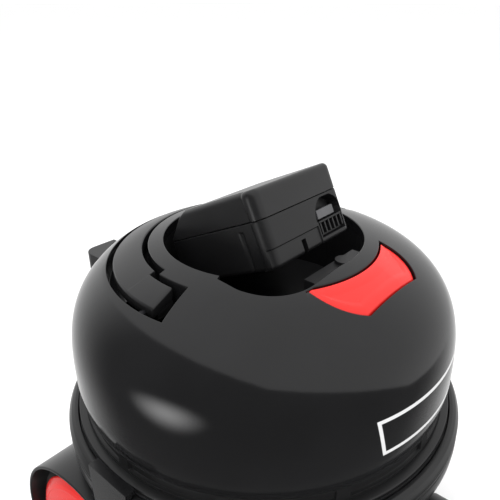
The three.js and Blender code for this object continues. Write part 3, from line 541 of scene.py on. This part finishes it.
def handleShape():
    # a rounded section carried round the axis under the dome's skin, stepping in to its two narrow ends
    h = handleSize
    span = 90 - h["end"]
    near = np.array([0, 0.05, 0.2, 0.45, 0.8, 1.4]) / h["middle"] / degree
    step = np.array([-0.5, -0.3, -0.2, -0.1, 0, 0.1, 0.2, 0.3, 0.5])
    half = np.unique(np.round(np.concatenate([
        span - near, (90 - h["step"]) + step, np.arange(0, span - 1.6, 1.0)]), 4))
    turn = np.concatenate([-half[::-1], half[1:]])
    toEnd = (span - np.abs(turn)) * degree * h["middle"]
    shrink = h["edge"] - np.sqrt(np.clip(h["edge"] ** 2 - np.clip(h["edge"] - toEnd, 0, None) ** 2, 0, None))
    wide = np.clip(((90 - h["step"]) - np.abs(turn)) / 0.5 + 0.5, 0, 1)
    wide = wide * wide * (3 - 2 * wide)
    inner = h["tongueInner"] + (h["inner"] - h["tongueInner"]) * wide + shrink
    outer = h["outer"] - shrink
    sections = np.array([roundedLoop((o - i) / 2, h["thick"] / 2 - s, h["edge"]) + [(o + i) / 2, 0]
                         for i, o, s in zip(inner, outer, shrink)])
    radius, up = closedEnds(sections[..., 0].T), closedEnds(sections[..., 1].T)
    spin = (90 - np.concatenate([turn[:1], turn, turn[-1:]])) * degree
    height = skin(radius) - h["inset"] - h["thick"] / 2 + up
    return roundAxis(radius, spin, height, True, False)


def handleBoss(side):
    # the eye of one leg, round its pivot
    h = handleSize
    y, z = h["pivot"]
    top = 0.6
    near, far = side * (h["tongueInner"] + 0.3), side * (h["outer"] - 4)
    bore, boss = h["bore"], h["boss"] - top
    profile = filleted([(bore, near), (boss, near), (boss, far), (bore, far)], 0.6)
    return turnedAcross(profile, (y, z - top), 48)


handleParts = [handleShape(), handleBoss(-1), handleBoss(1)]
finished("carryHandle", handleParts, "handle", "satin_black", ["carry_handle"])
print("stage: handle")

# release paddle
paddleSize = {"gap": 1.2, "inset": 0.4, "thick": 7.0, "edge": 1.1, "dish": 1.6, "lip": 5.0, "lipFall": 1.6,
              "creaseAt": 14.0, "creaseWide": 18, "creaseFall": 0.9}


def paddleShape():
    # a plate inside the pocket's outline: rows from the inner arc to the front edge, on the dome's skin
    p = paddleSize
    inner = domeSize["pocketInner"] + p["gap"]
    half = domeSize["pocketHalfAngle"] - p["gap"] / inner / degree
    s = np.linspace(-1, 1, 181)
    turn = 270 + half * np.sign(s) * np.abs(s) ** 0.8
    outer = np.maximum(pocketOuter(turn) - p["gap"] * 1.25, inner + 0.01)
    toSide = (half - np.abs(turn - 270)) * degree * inner
    t = np.concatenate([[0, 0.006, 0.015, 0.03], np.linspace(0.06, 0.94, 30),
                        [0.97, 0.985, 0.994, 1]])[:, None]
    radius = inner + (outer - inner) * t
    near = np.minimum(np.minimum(radius - inner, outer - radius), toSide)
    e = p["edge"]
    rounding = e - np.sqrt(np.clip(e ** 2 - np.clip(e - near, 0, e) ** 2, 0, None))
    dish = p["dish"] * np.clip((near - 2.2) / 6, 0, 1) ** 2
    lip = p["lipFall"] * np.clip(1 - (outer - radius) / p["lip"], 0, 1) ** 1.5
    # the face falls a little towards the right of a crease that runs across it
    across = radius * np.sin((turn - 270) * degree)
    crease = p["creaseFall"] * np.clip((across - p["creaseAt"]) / p["creaseWide"], 0, 1)
    top = skin(radius) - p["inset"] - rounding - dish * 0.5 - lip - crease * np.clip(near / 3, 0, 1)
    bottom = skin(radius) - p["inset"] - p["thick"]
    ring = np.concatenate([top, bottom[::-1]])
    radius = np.concatenate([radius, radius[::-1]])
    radius, ring = closedEnds(radius), closedEnds(ring)
    spin = np.concatenate([turn[:1], turn, turn[-1:]]) * degree
    return roundAxis(radius, spin, ring, True, False)


finished("releasePaddle", [paddleShape()], "paddle", "signal_red", ["release_paddle"])

# battery
packSize = {"half": 44.5, "front": 110.0, "rear": 6.0, "bottom": -7.4, "top": 46.6, "seam": 26.6,
            "slopeStart": 35.0, "rearTop": 22.0, "corner": 7.0, "rearCorner": 12.0, "edge": 2.6,
            "topEdge": 4.0, "gap": 0.3, "hinge": (54.0, 73.0), "tilt": 25.0, "pocketX": 25.0,
            "pocketHalf": 16.0, "pocketDepth": 9.0, "pocketFloor": 9.0, "pocketTop": 24.2,
            "combHalf": 15.0, "combDepth": 6.0, "combBottom": -3.0, "notchX": -10.0, "notchHalf": 2.0,
            "notchTop": 2.4, "notchDepth": 8, "stepTop": 6.0, "stepEnd": 8.5, "stepDepth": 0.9,
            "panelStart": 10, "panelDepth": 1.0, "ribY": -88, "ribWide": 1.3, "ribTop": 21, "ribDepth": 1.4}


def tilted(points):
    # pack coordinates, from the ejector's hinge, to axis-and-rim millimetres
    k = packSize
    c, s = math.cos(k["tilt"] * degree), math.sin(k["tilt"] * degree)
    x, y, z = points[..., 0], points[..., 1], points[..., 2]
    return np.stack([x, y * c + z * s + k["hinge"][0], -y * s + z * c + k["hinge"][1]], axis=-1)


def packOutline():
    # plan of the pack as a loop of points with outward directions, close together on the front face
    k = packSize
    half, front, rear, corner, rearCorner = (k[n] for n in ("half", "front", "rear", "corner", "rearCorner"))
    arc = np.linspace(0, 90, 9) * degree

    def bend(x, y, radius, start):
        angle = start * degree + arc
        return np.stack([x + radius * np.cos(angle), y + radius * np.sin(angle),
                         np.cos(angle), np.sin(angle)], axis=-1)

    frontX = np.linspace(-half + corner, half - corner, 160)[1:-1]
    face = np.stack([frontX, -front + 0 * frontX, 0 * frontX, -1 + 0 * frontX], axis=-1)
    sideY = np.linspace(-front + corner, -rear - rearCorner, 90)[1:-1]
    right = np.stack([half + 0 * sideY, sideY, 1 + 0 * sideY, 0 * sideY], axis=-1)
    rearX = np.linspace(half - rearCorner, -half + rearCorner, 14)[1:-1]
    back = np.stack([rearX, -rear + 0 * rearX, 0 * rearX, 1 + 0 * rearX], axis=-1)
    left = right[::-1] * [-1, 1, -1, 1]
    return np.concatenate([bend(-half + corner, -front + corner, corner, 180), face,
                           bend(half - corner, -front + corner, corner, 270), right,
                           bend(half - rearCorner, -rear - rearCorner, rearCorner, 0), back,
                           bend(-half + rearCorner, -rear - rearCorner, rearCorner, 90), left])


def step01(value, width):
    # 0 to 1 as the value passes zero, smoothly over the width
    t = np.clip(value / width + 0.5, 0, 1)
    return t * t * (3 - 2 * t)


def packRelief(x, y, z, nx, ny):
    # how far the case stands back: finger pocket, comb recess, notch, lower step and the side panels
    k = packSize
    onFront = ny < -0.5
    fromMiddle = np.hypot(x - k["pocketX"], z - k["pocketFloor"])
    w = 0.5
    moon = step01(k["pocketHalf"] - fromMiddle, w) * step01(z - k["pocketFloor"], w) \
        * step01(k["pocketTop"] - z, w)
    comb = step01(k["combHalf"] - np.abs(x - k["pocketX"]), w) * step01(z - k["combBottom"], w) \
        * step01(k["pocketFloor"] + 0.3 - z, w)
    notch = step01(k["notchHalf"] - np.abs(x - k["notchX"]), w) * step01(k["notchTop"] - z, w)
    lower = step01(k["stepTop"] - z, w) * step01(k["stepEnd"] - x, w)
    depth = np.maximum(moon * k["pocketDepth"], comb * k["combDepth"])
    depth = np.maximum(depth, np.maximum(notch * k["notchDepth"], lower * k["stepDepth"]))
    panel = step01(np.abs(nx) - 0.97, 0.02) * step01(y + k["front"] - k["panelStart"], 1.0)
    rib = np.exp(-((y - k["ribY"]) / k["ribWide"]) ** 2) * step01(k["ribTop"] - z, 2) * k["ribDepth"]
    return np.where(onFront, depth, panel * (k["panelDepth"] + rib))


def packRings(heights, insets):
    # the plan repeated at each height, drawn in by its inset, with the relief taken off the front and sides
    outline = packOutline()
    heights, insets = np.asarray(heights, float)[:, None], np.asarray(insets, float)[:, None]
    x, y, nx, ny = (outline[:, i][None, :] for i in range(4))
    z = heights + 0 * x
    back = insets + packRelief(x, y, z, nx, ny) * (insets < 3)
    return np.stack([x - nx * back, y - ny * back, z], axis=-1)


def underSlope(grid):
    # the top falls away to the rear, with a soft ridge
    k = packSize
    y, z = grid[..., 1], grid[..., 2]
    fall = (k["top"] - k["rearTop"]) / (k["slopeStart"] - k["rear"])
    limit = k["top"] - fall * (y + k["slopeStart"])
    soft = 2.0
    blend = np.clip(0.5 + 0.5 * (limit - z) / soft, 0, 1)
    grid[..., 2] = limit + (z - limit) * blend - soft * blend * (1 - blend)
    return grid


def capRings(grid, height, steps):
    # closes a loop towards the middle of the pack
    k = packSize
    middle = np.array([0, -(k["front"] + k["rear"]) / 2, height])
    loop = grid.copy()
    loop[:, 2] = height
    share = np.linspace(0, 1, steps + 1)[1:, None, None]
    return loop[None] + (middle - loop[None]) * share


def edgeCurve(edge, steps=5):
    # a quarter round, from the wall to the cap: (distance short of the cap, distance drawn in)
    angle = np.linspace(0, 90, steps) * degree
    return edge * (1 - np.sin(angle)), edge * (1 - np.cos(angle))


def lowerCase():
    k = packSize
    lift, draw = edgeCurve(k["edge"])
    wall = np.arange(k["bottom"] + k["edge"] + 0.3, k["seam"] - k["gap"] - 0.6, 0.42)
    top = k["seam"] - k["gap"]
    heights = np.concatenate([k["bottom"] + lift[::-1], wall, [top - 0.5, top - 0.25, top]])
    draws = np.concatenate([draw[::-1], 0 * wall, [0, 0.1, 0.5]])
    side = packRings(heights, draws)
    return surface(tilted(np.concatenate([capRings(side[0], k["bottom"], 4)[::-1], side,
                                          capRings(side[-1], top, 3)])), False, True)


def upperCase():
    k = packSize
    lift, draw = edgeCurve(k["topEdge"], 7)
    wall = np.linspace(k["seam"] + 0.8, k["top"] - k["topEdge"] - 1, 12)
    heights = np.concatenate([k["seam"] + np.array([0, 0.25, 0.5]), wall, k["top"] - lift])
    draws = np.concatenate([[0.5, 0.1, 0], 0 * wall, draw])
    side = packRings(heights, draws)
    grid = np.concatenate([capRings(side[0], k["seam"], 3)[::-1], side, capRings(side[-1], k["top"], 24)])
    return surface(tilted(underSlope(grid)), False, True)


finished("batteryLowerCase", [lowerCase()], "battery", "matt_black", ["battery_lower_case"], sharp=35)
finished("batteryUpperCase", [upperCase()], "battery", "satin_black", ["battery_upper_case"], sharp=35)
print("stage: paddle and battery")

# head base, ring and drum
drumSize = {"baseDepth": 16.0, "baseRadius": 150.0, "ventRadius": 144.2, "vents": 12, "ventBar": 4.0,
            "ringRadius": 159.2, "ringTop": 17.0, "ringBottom": 48.0, "radius": 151.0, "foot": 128.0,
            "bottom": 36.0, "drop": 20.0, "wheelY": 46.6, "wheelZ": 80.0, "well": 85.0, "wellFlat": 116.0,
            "archOuter": 88.0, "archReach": 160.0, "archFrom": 56.0, "clampHalf": 21.0, "clampFlat": 153.3,
            "archBack": 112, "footCorner": 14, "mouth": 143, "inside": 148, "fanEye": 22,
            "inletHeight": 127.0}


def aroundAxis(profile, turn, change=None):
    # a closed outline of (radius, height) round the axis; change(radius, height, turn) gives a new radius
    profile = np.asarray(profile, float)
    radius, height = profile[:, :1] + 0 * turn, profile[:, 1:] + 0 * turn
    if change:
        radius = change(radius, height, turn[None, :] + 0 * radius)
    return roundAxis(radius, turn * degree, height)


def ventSlots(radius, height, turn):
    # the vent band is sunk between the bars
    d = drumSize
    pitch = 360 / d["vents"]
    fromBar = np.minimum(turn % pitch, pitch - turn % pitch) - d["ventBar"] / 2
    inside = step01(fromBar, 0.25) * step01(height + 9.5, 0.4) * step01(-2.0 - height, 0.4)
    return radius - 2.0 * inside * (radius > d["ventRadius"] - 0.8)


def baseShape():
    d = drumSize
    vent, low, floor = d["ventRadius"], -d["baseDepth"], -d["baseDepth"] + 3
    eye, base = d["fanEye"], d["baseRadius"]
    rows = np.linspace(floor + 2, -0.9, 40)
    corners = [(vent - 3, floor), (eye, floor), (eye, low), (base, low), (base, floor),
               (vent + 0.6, floor + 0.8)]
    outline = np.concatenate([filleted(corners, 0.7)[4:], np.stack([vent + 0 * rows, rows], axis=-1),
                              [(vent - 3, -0.3)]])
    bars = np.arange(d["vents"]) * (360 / d["vents"])
    tight = np.array([-2.3, -2.12, -2.0, -1.88, -1.7, 0, 1.7, 1.88, 2.0, 2.12, 2.3])
    atBars = (bars[:, None] + tight).ravel() % 360
    turn = np.unique(np.round(np.concatenate([np.arange(0, 360, 1.5), atBars]), 3))
    return aroundAxis(outline, turn, ventSlots)


def clampFlats(radius, height, turn):
    # the ring is flat under each side clamp
    d = drumSize
    c, s = np.abs(np.cos(turn * degree)), np.abs(radius * np.sin(turn * degree))
    flat = np.where((s < d["clampHalf"]) & (c > 0.9), d["clampFlat"] / np.maximum(c, 0.1), 1e3)
    return np.where(radius > d["radius"] + 1.5, np.minimum(radius, flat), radius)


def ringShape():
    d = drumSize
    outer, inner, top, low = d["ringRadius"], d["radius"] + 0.3, -d["ringTop"], -d["ringBottom"]
    groove = [(-1.1, 0.0), (-0.7, -0.25), (-0.5, -1.1), (0.5, -1.1), (0.7, -0.25), (1.1, 0.0)]
    corners = [(inner, low), (outer - 3.5, low), (outer - 0.6, low + 8), (outer, low + 14)]
    for middle in (low + 20.5, low + 24.0):
        corners += [(outer - 0.2 + r, middle + z) for z, r in groove]
    corners += [(outer - 1.0, top - 4.2), (outer - 2.6, top - 1.6), (inner + 2.6, top), (inner, top)]
    profile = filleted(corners, 0.5, 3)
    edge = math.degrees(math.asin(d["clampHalf"] / outer))
    tight = np.array([-0.4, -0.1, -0.02, 0.02, 0.1, 0.4])
    ends = [edge, -edge, 180 - edge, 180 + edge]
    turn = np.concatenate([np.arange(0, 360, 1.0)] + [(e + tight) % 360 for e in ends])
    return aroundAxis(profile, np.unique(np.round(turn, 3)), clampFlats)


def wheelWells(radius, height, turn):
    # the drum's wall steps in to a flat beside each wheel
    d = drumSize
    c, s = np.cos(turn * degree), np.sin(turn * degree)
    y = radius * s - d["wheelY"]
    z = height + rimZ - d["wheelZ"]
    reach = np.where(np.abs(c) > 0.2, d["wellFlat"] / np.maximum(np.abs(c), 0.2), 1e3)
    inWell = np.hypot(y, z) < d["well"] + 1.5
    return np.where(inWell & (radius > 100), np.minimum(radius, np.maximum(reach, 60)), radius)


def drumShape():
    d = drumSize
    low, top, shoulder = d["bottom"] - rimZ, -d["drop"], -d["ringBottom"] - 4
    radius, foot, bend, mouth, inside = (d[n] for n in ("radius", "foot", "footCorner", "mouth", "inside"))
    rise = np.linspace(low + 16, shoulder, 90)
    flare = (radius - foot) * (rise - low - bend) / (shoulder - low - bend)
    corners = [(100, low), (foot - bend, low), (foot, low + bend), (foot + 1, low + 20)]
    outline = np.concatenate([
        [(0, low), (90, low)], filleted(corners, 8, 8)[9:27], np.stack([foot + flare, rise], axis=-1),
        [(radius, shoulder + 2), (radius, top - 0.4), (radius - 0.4, top), (mouth + 0.4, top),
         (mouth, top - 0.4), (mouth, top - 3), (inside, top - 3.2), (inside, shoulder)],
        [(foot - 3, low + bend), (foot - 16, low + 3), (0, low + 3)]])
    turn = np.arange(0, 360, 0.75)
    return aroundAxis(outline, turn, wheelWells)


def archShape(side):
    # the arch over a wheel: a band round the wheel's centre, carried from the drum out to its rounded lip
    d = drumSize
    inner, outer, back, reach = d["well"] + 0.2, d["archOuter"], d["archBack"], d["archReach"]
    loop = filleted([(inner, back), (outer, back), (outer, reach), (inner, reach)], 1.1, 4)
    start = math.asin((d["archFrom"] - d["wheelZ"]) / outer)
    turn = np.linspace(start, math.pi - start, 97)
    radius, across = loop[:, :1] + 0 * turn, loop[:, 1:] + 0 * turn
    turn = np.concatenate([turn[:1], turn, turn[-1:]])
    radius, across = closedEnds(radius), closedEnds(across)
    return surface(np.stack([side * across, d["wheelY"] + radius * np.cos(turn),
                             d["wheelZ"] - rimZ + radius * np.sin(turn)], axis=-1), True, False)


finished("headBase", [baseShape()], "head", "satin_black", ["head_base"], sharp=35)
finished("tubRing", [ringShape()], "tub_unit", "satin_black", ["tub_ring"], sharp=35)
finished("tub", [drumShape(), archShape(-1), archShape(1)], "tub_unit", "satin_black", ["tub"], sharp=35)
print("stage: drum")

# wheels
wheelSize = {
    "radius": 80.0, "inner": 121.0, "outer": 151.0, "seat": 67.7, "cap": 74.0, "treads": 56,
    "treadDepth": 1.3, "beadInner": 124.5, "beadOuter": 145.5, "bore": 6.3, "boss": 14, "rimWell": 60,
    "rimInner": 124, "rimOuter": 146,
    # shoulder: (below the tread, in from the side); cap: (in from its edge, out), then (radius, out)
    "shoulder": [(7, 0.1), (4, 0), (1.6, 1.4), (0.3, 3.6)],
    "capEdge": [(0.4, 0), (0, 0.6), (0.5, 1.8), (4.5, 4.3), (8, 5.3), (9, 5.0), (10, 5.2)],
    "capFace": [(52, 6.0), (37, 6.4), (22, 6.7), (19.5, 6.7), (18.5, 6.0), (17, 6.0), (16, 6.7), (0, 7)],
}
castorSize = {"halfProfile": [(2.3, -7.5), (12.4, -7.5), (14.5, -5.2)], "fillet": 1.4}


def tread(turn, reach, radius):
    # shallow chevron grooves across the tyre's running face
    w = wheelSize
    middle = (w["inner"] + w["outer"]) / 2
    off = np.abs(np.abs(reach) - middle)
    phase = np.sin(w["treads"] * turn + off * 0.35)
    return -w["treadDepth"] * step01(phase - 0.72, 0.25) * (radius > w["radius"] - 1.0)


def wheelParts(side):
    w = wheelSize
    middle = (drumSize["wheelY"], drumSize["wheelZ"] - rimZ)
    inner, outer, radius, seat = w["inner"], w["outer"], w["radius"], w["seat"]
    tyre = [(seat + 0.3, w["beadInner"])] + [(radius - r, inner + x) for r, x in w["shoulder"]] \
        + [(radius, x) for x in np.linspace(inner + 5, outer - 5, 15)] \
        + [(radius - r, outer - x) for r, x in w["shoulder"][::-1]] + [(seat + 0.3, w["beadOuter"])]
    face = outer + 0.3
    hub = [(0, face)] + [(w["cap"] - r, face + x) for r, x in w["capEdge"]] \
        + [(r, face + x) for r, x in w["capFace"]]
    bore, boss, well, low, high = (w[n] for n in ("bore", "boss", "rimWell", "rimInner", "rimOuter"))
    rim = [(bore, low - 2), (boss, low - 2), (well, low + 6), (well, low), (seat, low), (seat, high),
           (well, high), (well, high - 9), (boss, high), (bore, high)]
    mirror = [1, side]
    return {
        "wheelTyre": turnedAcross(np.array(tyre, float) * mirror, middle, 448, tread),
        "hubCap": turnedAcross(filleted(hub, 1.0, 3) * mirror, middle, 144),
        "wheelRim": turnedAcross(filleted(rim, 0.8, 3) * mirror, middle, 96),
    }


wheelNodes = {"wheelTyre": ("wheel_tyre", "tyre_rubber"), "hubCap": ("hub_cap", "signal_red"),
              "wheelRim": ("wheel_rim", "matt_black")}
for word, side in (("left", -1), ("right", 1)):
    for name, part in wheelParts(side).items():
        node, slotName = wheelNodes[name]
        finished(name + word.capitalize(), [part], "wheel_" + word, slotName, [f"{node}_{word}"], sharp=35)
    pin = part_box(f"castor_pin_{word}")
    centre = [(a + b) / 2 * 1000 for a, b in zip(*pin)]
    axle = (centre[1] - axisY, centre[2] - rimZ)
    half = castorSize["halfProfile"]
    profile = filleted(half + [(r, -x) for r, x in half[::-1]], castorSize["fillet"], 5)
    roller = turnedAcross(profile + [0, centre[0]], axle, 96)
    finished("castorWheel" + word.capitalize(), [roller],
             f"castor_roller_{word}", "tyre_rubber", [f"castor_wheel_{word}"], sharp=35)
print("stage: wheels")

# hose inlet
inletSize = {"face": -173.0, "back": -122.0, "flange": 30.0, "tube": 24.0, "bore": 21.0, "seat": -151.6}


def inletShape():
    # outline of (radius, depth along Y) round the inlet's own axis, with a rolled lip
    n = inletSize
    bore, tube, flange, face, seat, back = (n[k] for k in ("bore", "tube", "flange", "face", "seat", "back"))
    corners = [(bore, face), (flange - 3, face), (flange, face + 3), (flange, seat), (tube, seat),
               (tube, back), (bore, back)]
    profile = filleted(corners, 1.2, 4)
    turn = fullTurn(144)
    radius, reach = profile[:, :1], profile[:, 1:]
    return surface(np.stack([radius * np.cos(turn), reach + 0 * turn,
                             drumSize["inletHeight"] - rimZ + radius * np.sin(turn)], axis=-1))


finished("hoseInlet", [inletShape()], "tub_unit", "matt_black", ["hose_inlet"], sharp=35)

# soft pieces
bagSize = {"half": 104.0, "low": 42.0, "high": 98.0, "folds": 9}
filterSize = {"radius": 110.5, "low": -65, "rise": 20, "top": -44.8, "pleats": 36, "pleatDepth": 1.3}


def bagShape():
    # a round pillow: height falls to a seam round its middle, with soft folds that grow towards the seam
    g = bagSize
    turn = fullTurn(240)
    level = np.linspace(-1, 1, 61)[:, None]
    bulge = np.abs(np.cos(level * math.pi / 2)) ** 0.62
    reach = (g["half"] - 6) * bulge * (1 - 0.17 * (level < 0) * np.abs(level) ** 2)
    broad = np.sin(g["folds"] * turn + 2.2 * level)
    narrow = np.sin((2 * g["folds"] + 3) * turn - 4 * level)
    folds = broad * 0.6 + narrow * 0.4
    radius = reach + 2.6 * folds * bulge ** 2
    seam = np.exp(-(level / 0.03) ** 2) * 2.5
    middle, tall = (g["low"] + g["high"]) / 2 - rimZ, (g["high"] - g["low"]) / 2 - 2
    height = middle + tall * np.sin(level * math.pi / 2) + 0.9 * folds * bulge
    return roundAxis(radius + seam, turn, height, False, True)


def filterShape():
    # a shallow cloth bowl with radial pleats, hung from a flat rim
    f = filterSize
    turn = fullTurn(360)
    share = np.linspace(0, 1, 25)[:, None]
    pleat = np.sin(f["pleats"] * turn) * f["pleatDepth"] * np.sin(share * math.pi)
    radius = f["radius"] * share ** 0.8
    under = f["low"] + f["rise"] * share ** 5 + pleat
    over = f["top"] + 0 * share + 0 * turn
    ring = np.concatenate([under, over[::-1]])
    radius = np.concatenate([radius, radius[::-1]])
    return roundAxis(radius, turn, ring, False, True)


dustBag = finished("dustBag", [bagShape()], "tub_unit", "white_cloth", ["dust_bag"], sharp=0)
filterCloth = finished("filterCloth", [filterShape()], "tub_unit", "white_cloth", ["filter_cloth"], sharp=0)
print("stage: inlet and soft pieces")

# pieces taken from their CAD nodes: all get the finish of their slot, and these get rounded edges
bevelled = {
    "wand_dock": 1.4, "contact_block": 0.8, "battery_latch_tab": 0.5, "battery_comb": 0.25,
    "side_clamp_left": 0.8, "side_clamp_right": 0.8, "castor_fork_left": 0.8, "castor_fork_right": 0.8,
}


def bevelledCopy(node, width):
    # the node's mesh merged, its flat faces joined, and its edges rounded
    crease = 35 * degree
    mesh = frame["nodes"][node].data.copy()
    mesh.name = node + "Fine"
    work = bmesh.new()
    work.from_mesh(mesh)
    bmesh.ops.remove_doubles(work, verts=work.verts, dist=1e-6)
    bmesh.ops.dissolve_limit(work, angle_limit=0.5 * degree, verts=work.verts, edges=work.edges)
    work.to_mesh(mesh)
    work.free()
    mesh.shade_smooth()
    mesh.set_sharp_from_angle(angle=crease)
    words = node.split("_")
    piece = placed(words[0] + "".join(w.capitalize() for w in words[1:]), mesh)
    rounded = piece.modifiers.new("edges", "BEVEL")
    rounded.width = width / 1000
    rounded.segments = 3
    rounded.limit_method = "ANGLE"
    rounded.angle_limit = crease
    rounded.harden_normals = True
    return piece


bodyOf = {node: body for body, members in frame["record"]["behaviour"]["bodies"].items() for node in members}
slotOf = {entry["node"]: entry["material_slot"] for entry in frame["record"]["subparts"]}
for node, width in bevelled.items():
    piece = bevelledCopy(node, width)
    piece.data.materials.clear()
    piece.data.materials.append(finishes[slotOf[node]])
    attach(piece, bodyOf[node])
    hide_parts(node)
for node, thing in frame["nodes"].items():
    thing.material_slots[0].material = finishes[slotOf[node]]
print("stage: kept nodes finished")

# floor, light and camera
studio = {
    "floor": (0.90, 0.90, 0.90), "air": 1.15, "backAzimuth": -50.0, "backFade": (-0.1, 0.75),
    "backBright": 1.0, "frontDim": 0.13, "spotTowards": (-0.927, 0.166, -0.335), "spotWide": 0.40,
    "spotTall": 0.28, "spotBright": 4.2, "softboxBright": 0.85, "softboxEdge": (-0.038, -0.027),
    "softboxSides": [(0.688, -0.212, 0.654), (0.543, 0.081, 0.832), (0.191, -0.113, 0.795)],
}
viewpoint = {"azimuth": -50, "pitch": 25.3, "away": 0.3677, "up": 0.2701, "lens": 38.3,
             "shift": -0.0276}


def makeFloor():
    mesh = bpy.data.meshes.new("floor")
    reach = 60
    corners = [(-reach, -reach, 0), (reach, -reach, 0), (reach, reach, 0), (-reach, reach, 0)]
    mesh.from_pydata(corners, [], [(0, 1, 2, 3)])
    floor = placed("floor", mesh)
    s = Shader("paleFloor")
    mesh.materials.append(s.finish(s.mix(s.noise(0.4), studio["floor"], scaled(studio["floor"], 0.98)), 0.9))
    floor.visible_glossy = False


def makeWorld():
    # the air is evenly bright, but reflections see a dim front, a bright back, a softbox and a soft spot
    w = Shader("studio", world=True)
    bpy.context.scene.world = w.material
    x, y, z = w.split(w.place)

    def towards(direction):
        # how far the looked-at direction leans along a given one
        return x * direction[0] + y * direction[1] + z * direction[2]

    angle = studio["backAzimuth"] * degree
    back = towards((-math.sin(angle), math.cos(angle), 0)).ramp(
        *studio["backFade"], studio["frontDim"], studio["backBright"])
    sides = [towards(normal) for normal in studio["softboxSides"]]
    softbox = sides[0].least(sides[1]).least(sides[2]).ramp(*studio["softboxEdge"])
    glossy = back + softbox * (studio["softboxBright"] - back)
    # the soft spot is an ellipse of directions round its own one, wider than it is tall
    spot = Vector(studio["spotTowards"]).normalized()
    wide = spot.cross(Vector((0, 0, 1))).normalized()
    tall = wide.cross(spot)
    offWide = (towards(wide) / studio["spotWide"]).maths("POWER", 2)
    offTall = (towards(tall) / studio["spotTall"]).maths("POWER", 2)
    off = offWide + offTall
    glow = off.maths("SQRT").ramp(0.0, 1.0, 1.0, 0.0) * towards(spot).ramp(0.0, 0.1)
    glossy = glossy + glow * studio["spotBright"]
    path = w.node("ShaderNodeLightPath", {}, {}, "Is Glossy Ray")
    strength = studio["air"] + path * (glossy - studio["air"])
    w.tree.links.new(strength.out, w.main.inputs["Strength"])
    w.main.inputs["Color"].default_value = (1, 1, 1, 1)


def areaLight(name, at, target, size, power):
    # a rectangle of light that neither the camera nor a reflection sees
    light = bpy.data.lights.new(name, "AREA")
    light.shape = "RECTANGLE"
    light.size, light.size_y = size
    light.energy = power
    thing = placed(name, light)
    thing.location = at
    thing.rotation_euler = (Vector(target) - Vector(at)).to_track_quat("-Z", "Y").to_euler()
    thing.visible_glossy = False
    thing.visible_camera = False


def makeCamera():
    camera = placed("camera", bpy.data.cameras.new("camera"))
    camera.data.sensor_width = 36
    camera.data.lens = viewpoint["lens"]
    camera.data.shift_x = viewpoint["shift"]
    azimuth, pitch = viewpoint["azimuth"] * degree, viewpoint["pitch"] * degree
    away = Vector((math.sin(azimuth), -math.cos(azimuth), 0))
    rim = Vector((0, axisY / 1000, rimZ / 1000))
    camera.location = rim + away * viewpoint["away"] + Vector((0, 0, viewpoint["up"]))
    camera.rotation_euler = (90 * degree - pitch, 0, azimuth)
    camera.data.clip_start = 0.01
    bpy.context.scene.camera = camera


makeFloor()
makeWorld()
areaLight("fill", (-0.4, 0.3, 2.6), (0, 0, 0.2), (1.6, 1.6), 40)
makeCamera()
bpy.context.scene.view_settings.view_transform = "Standard"
print("stage: studio")
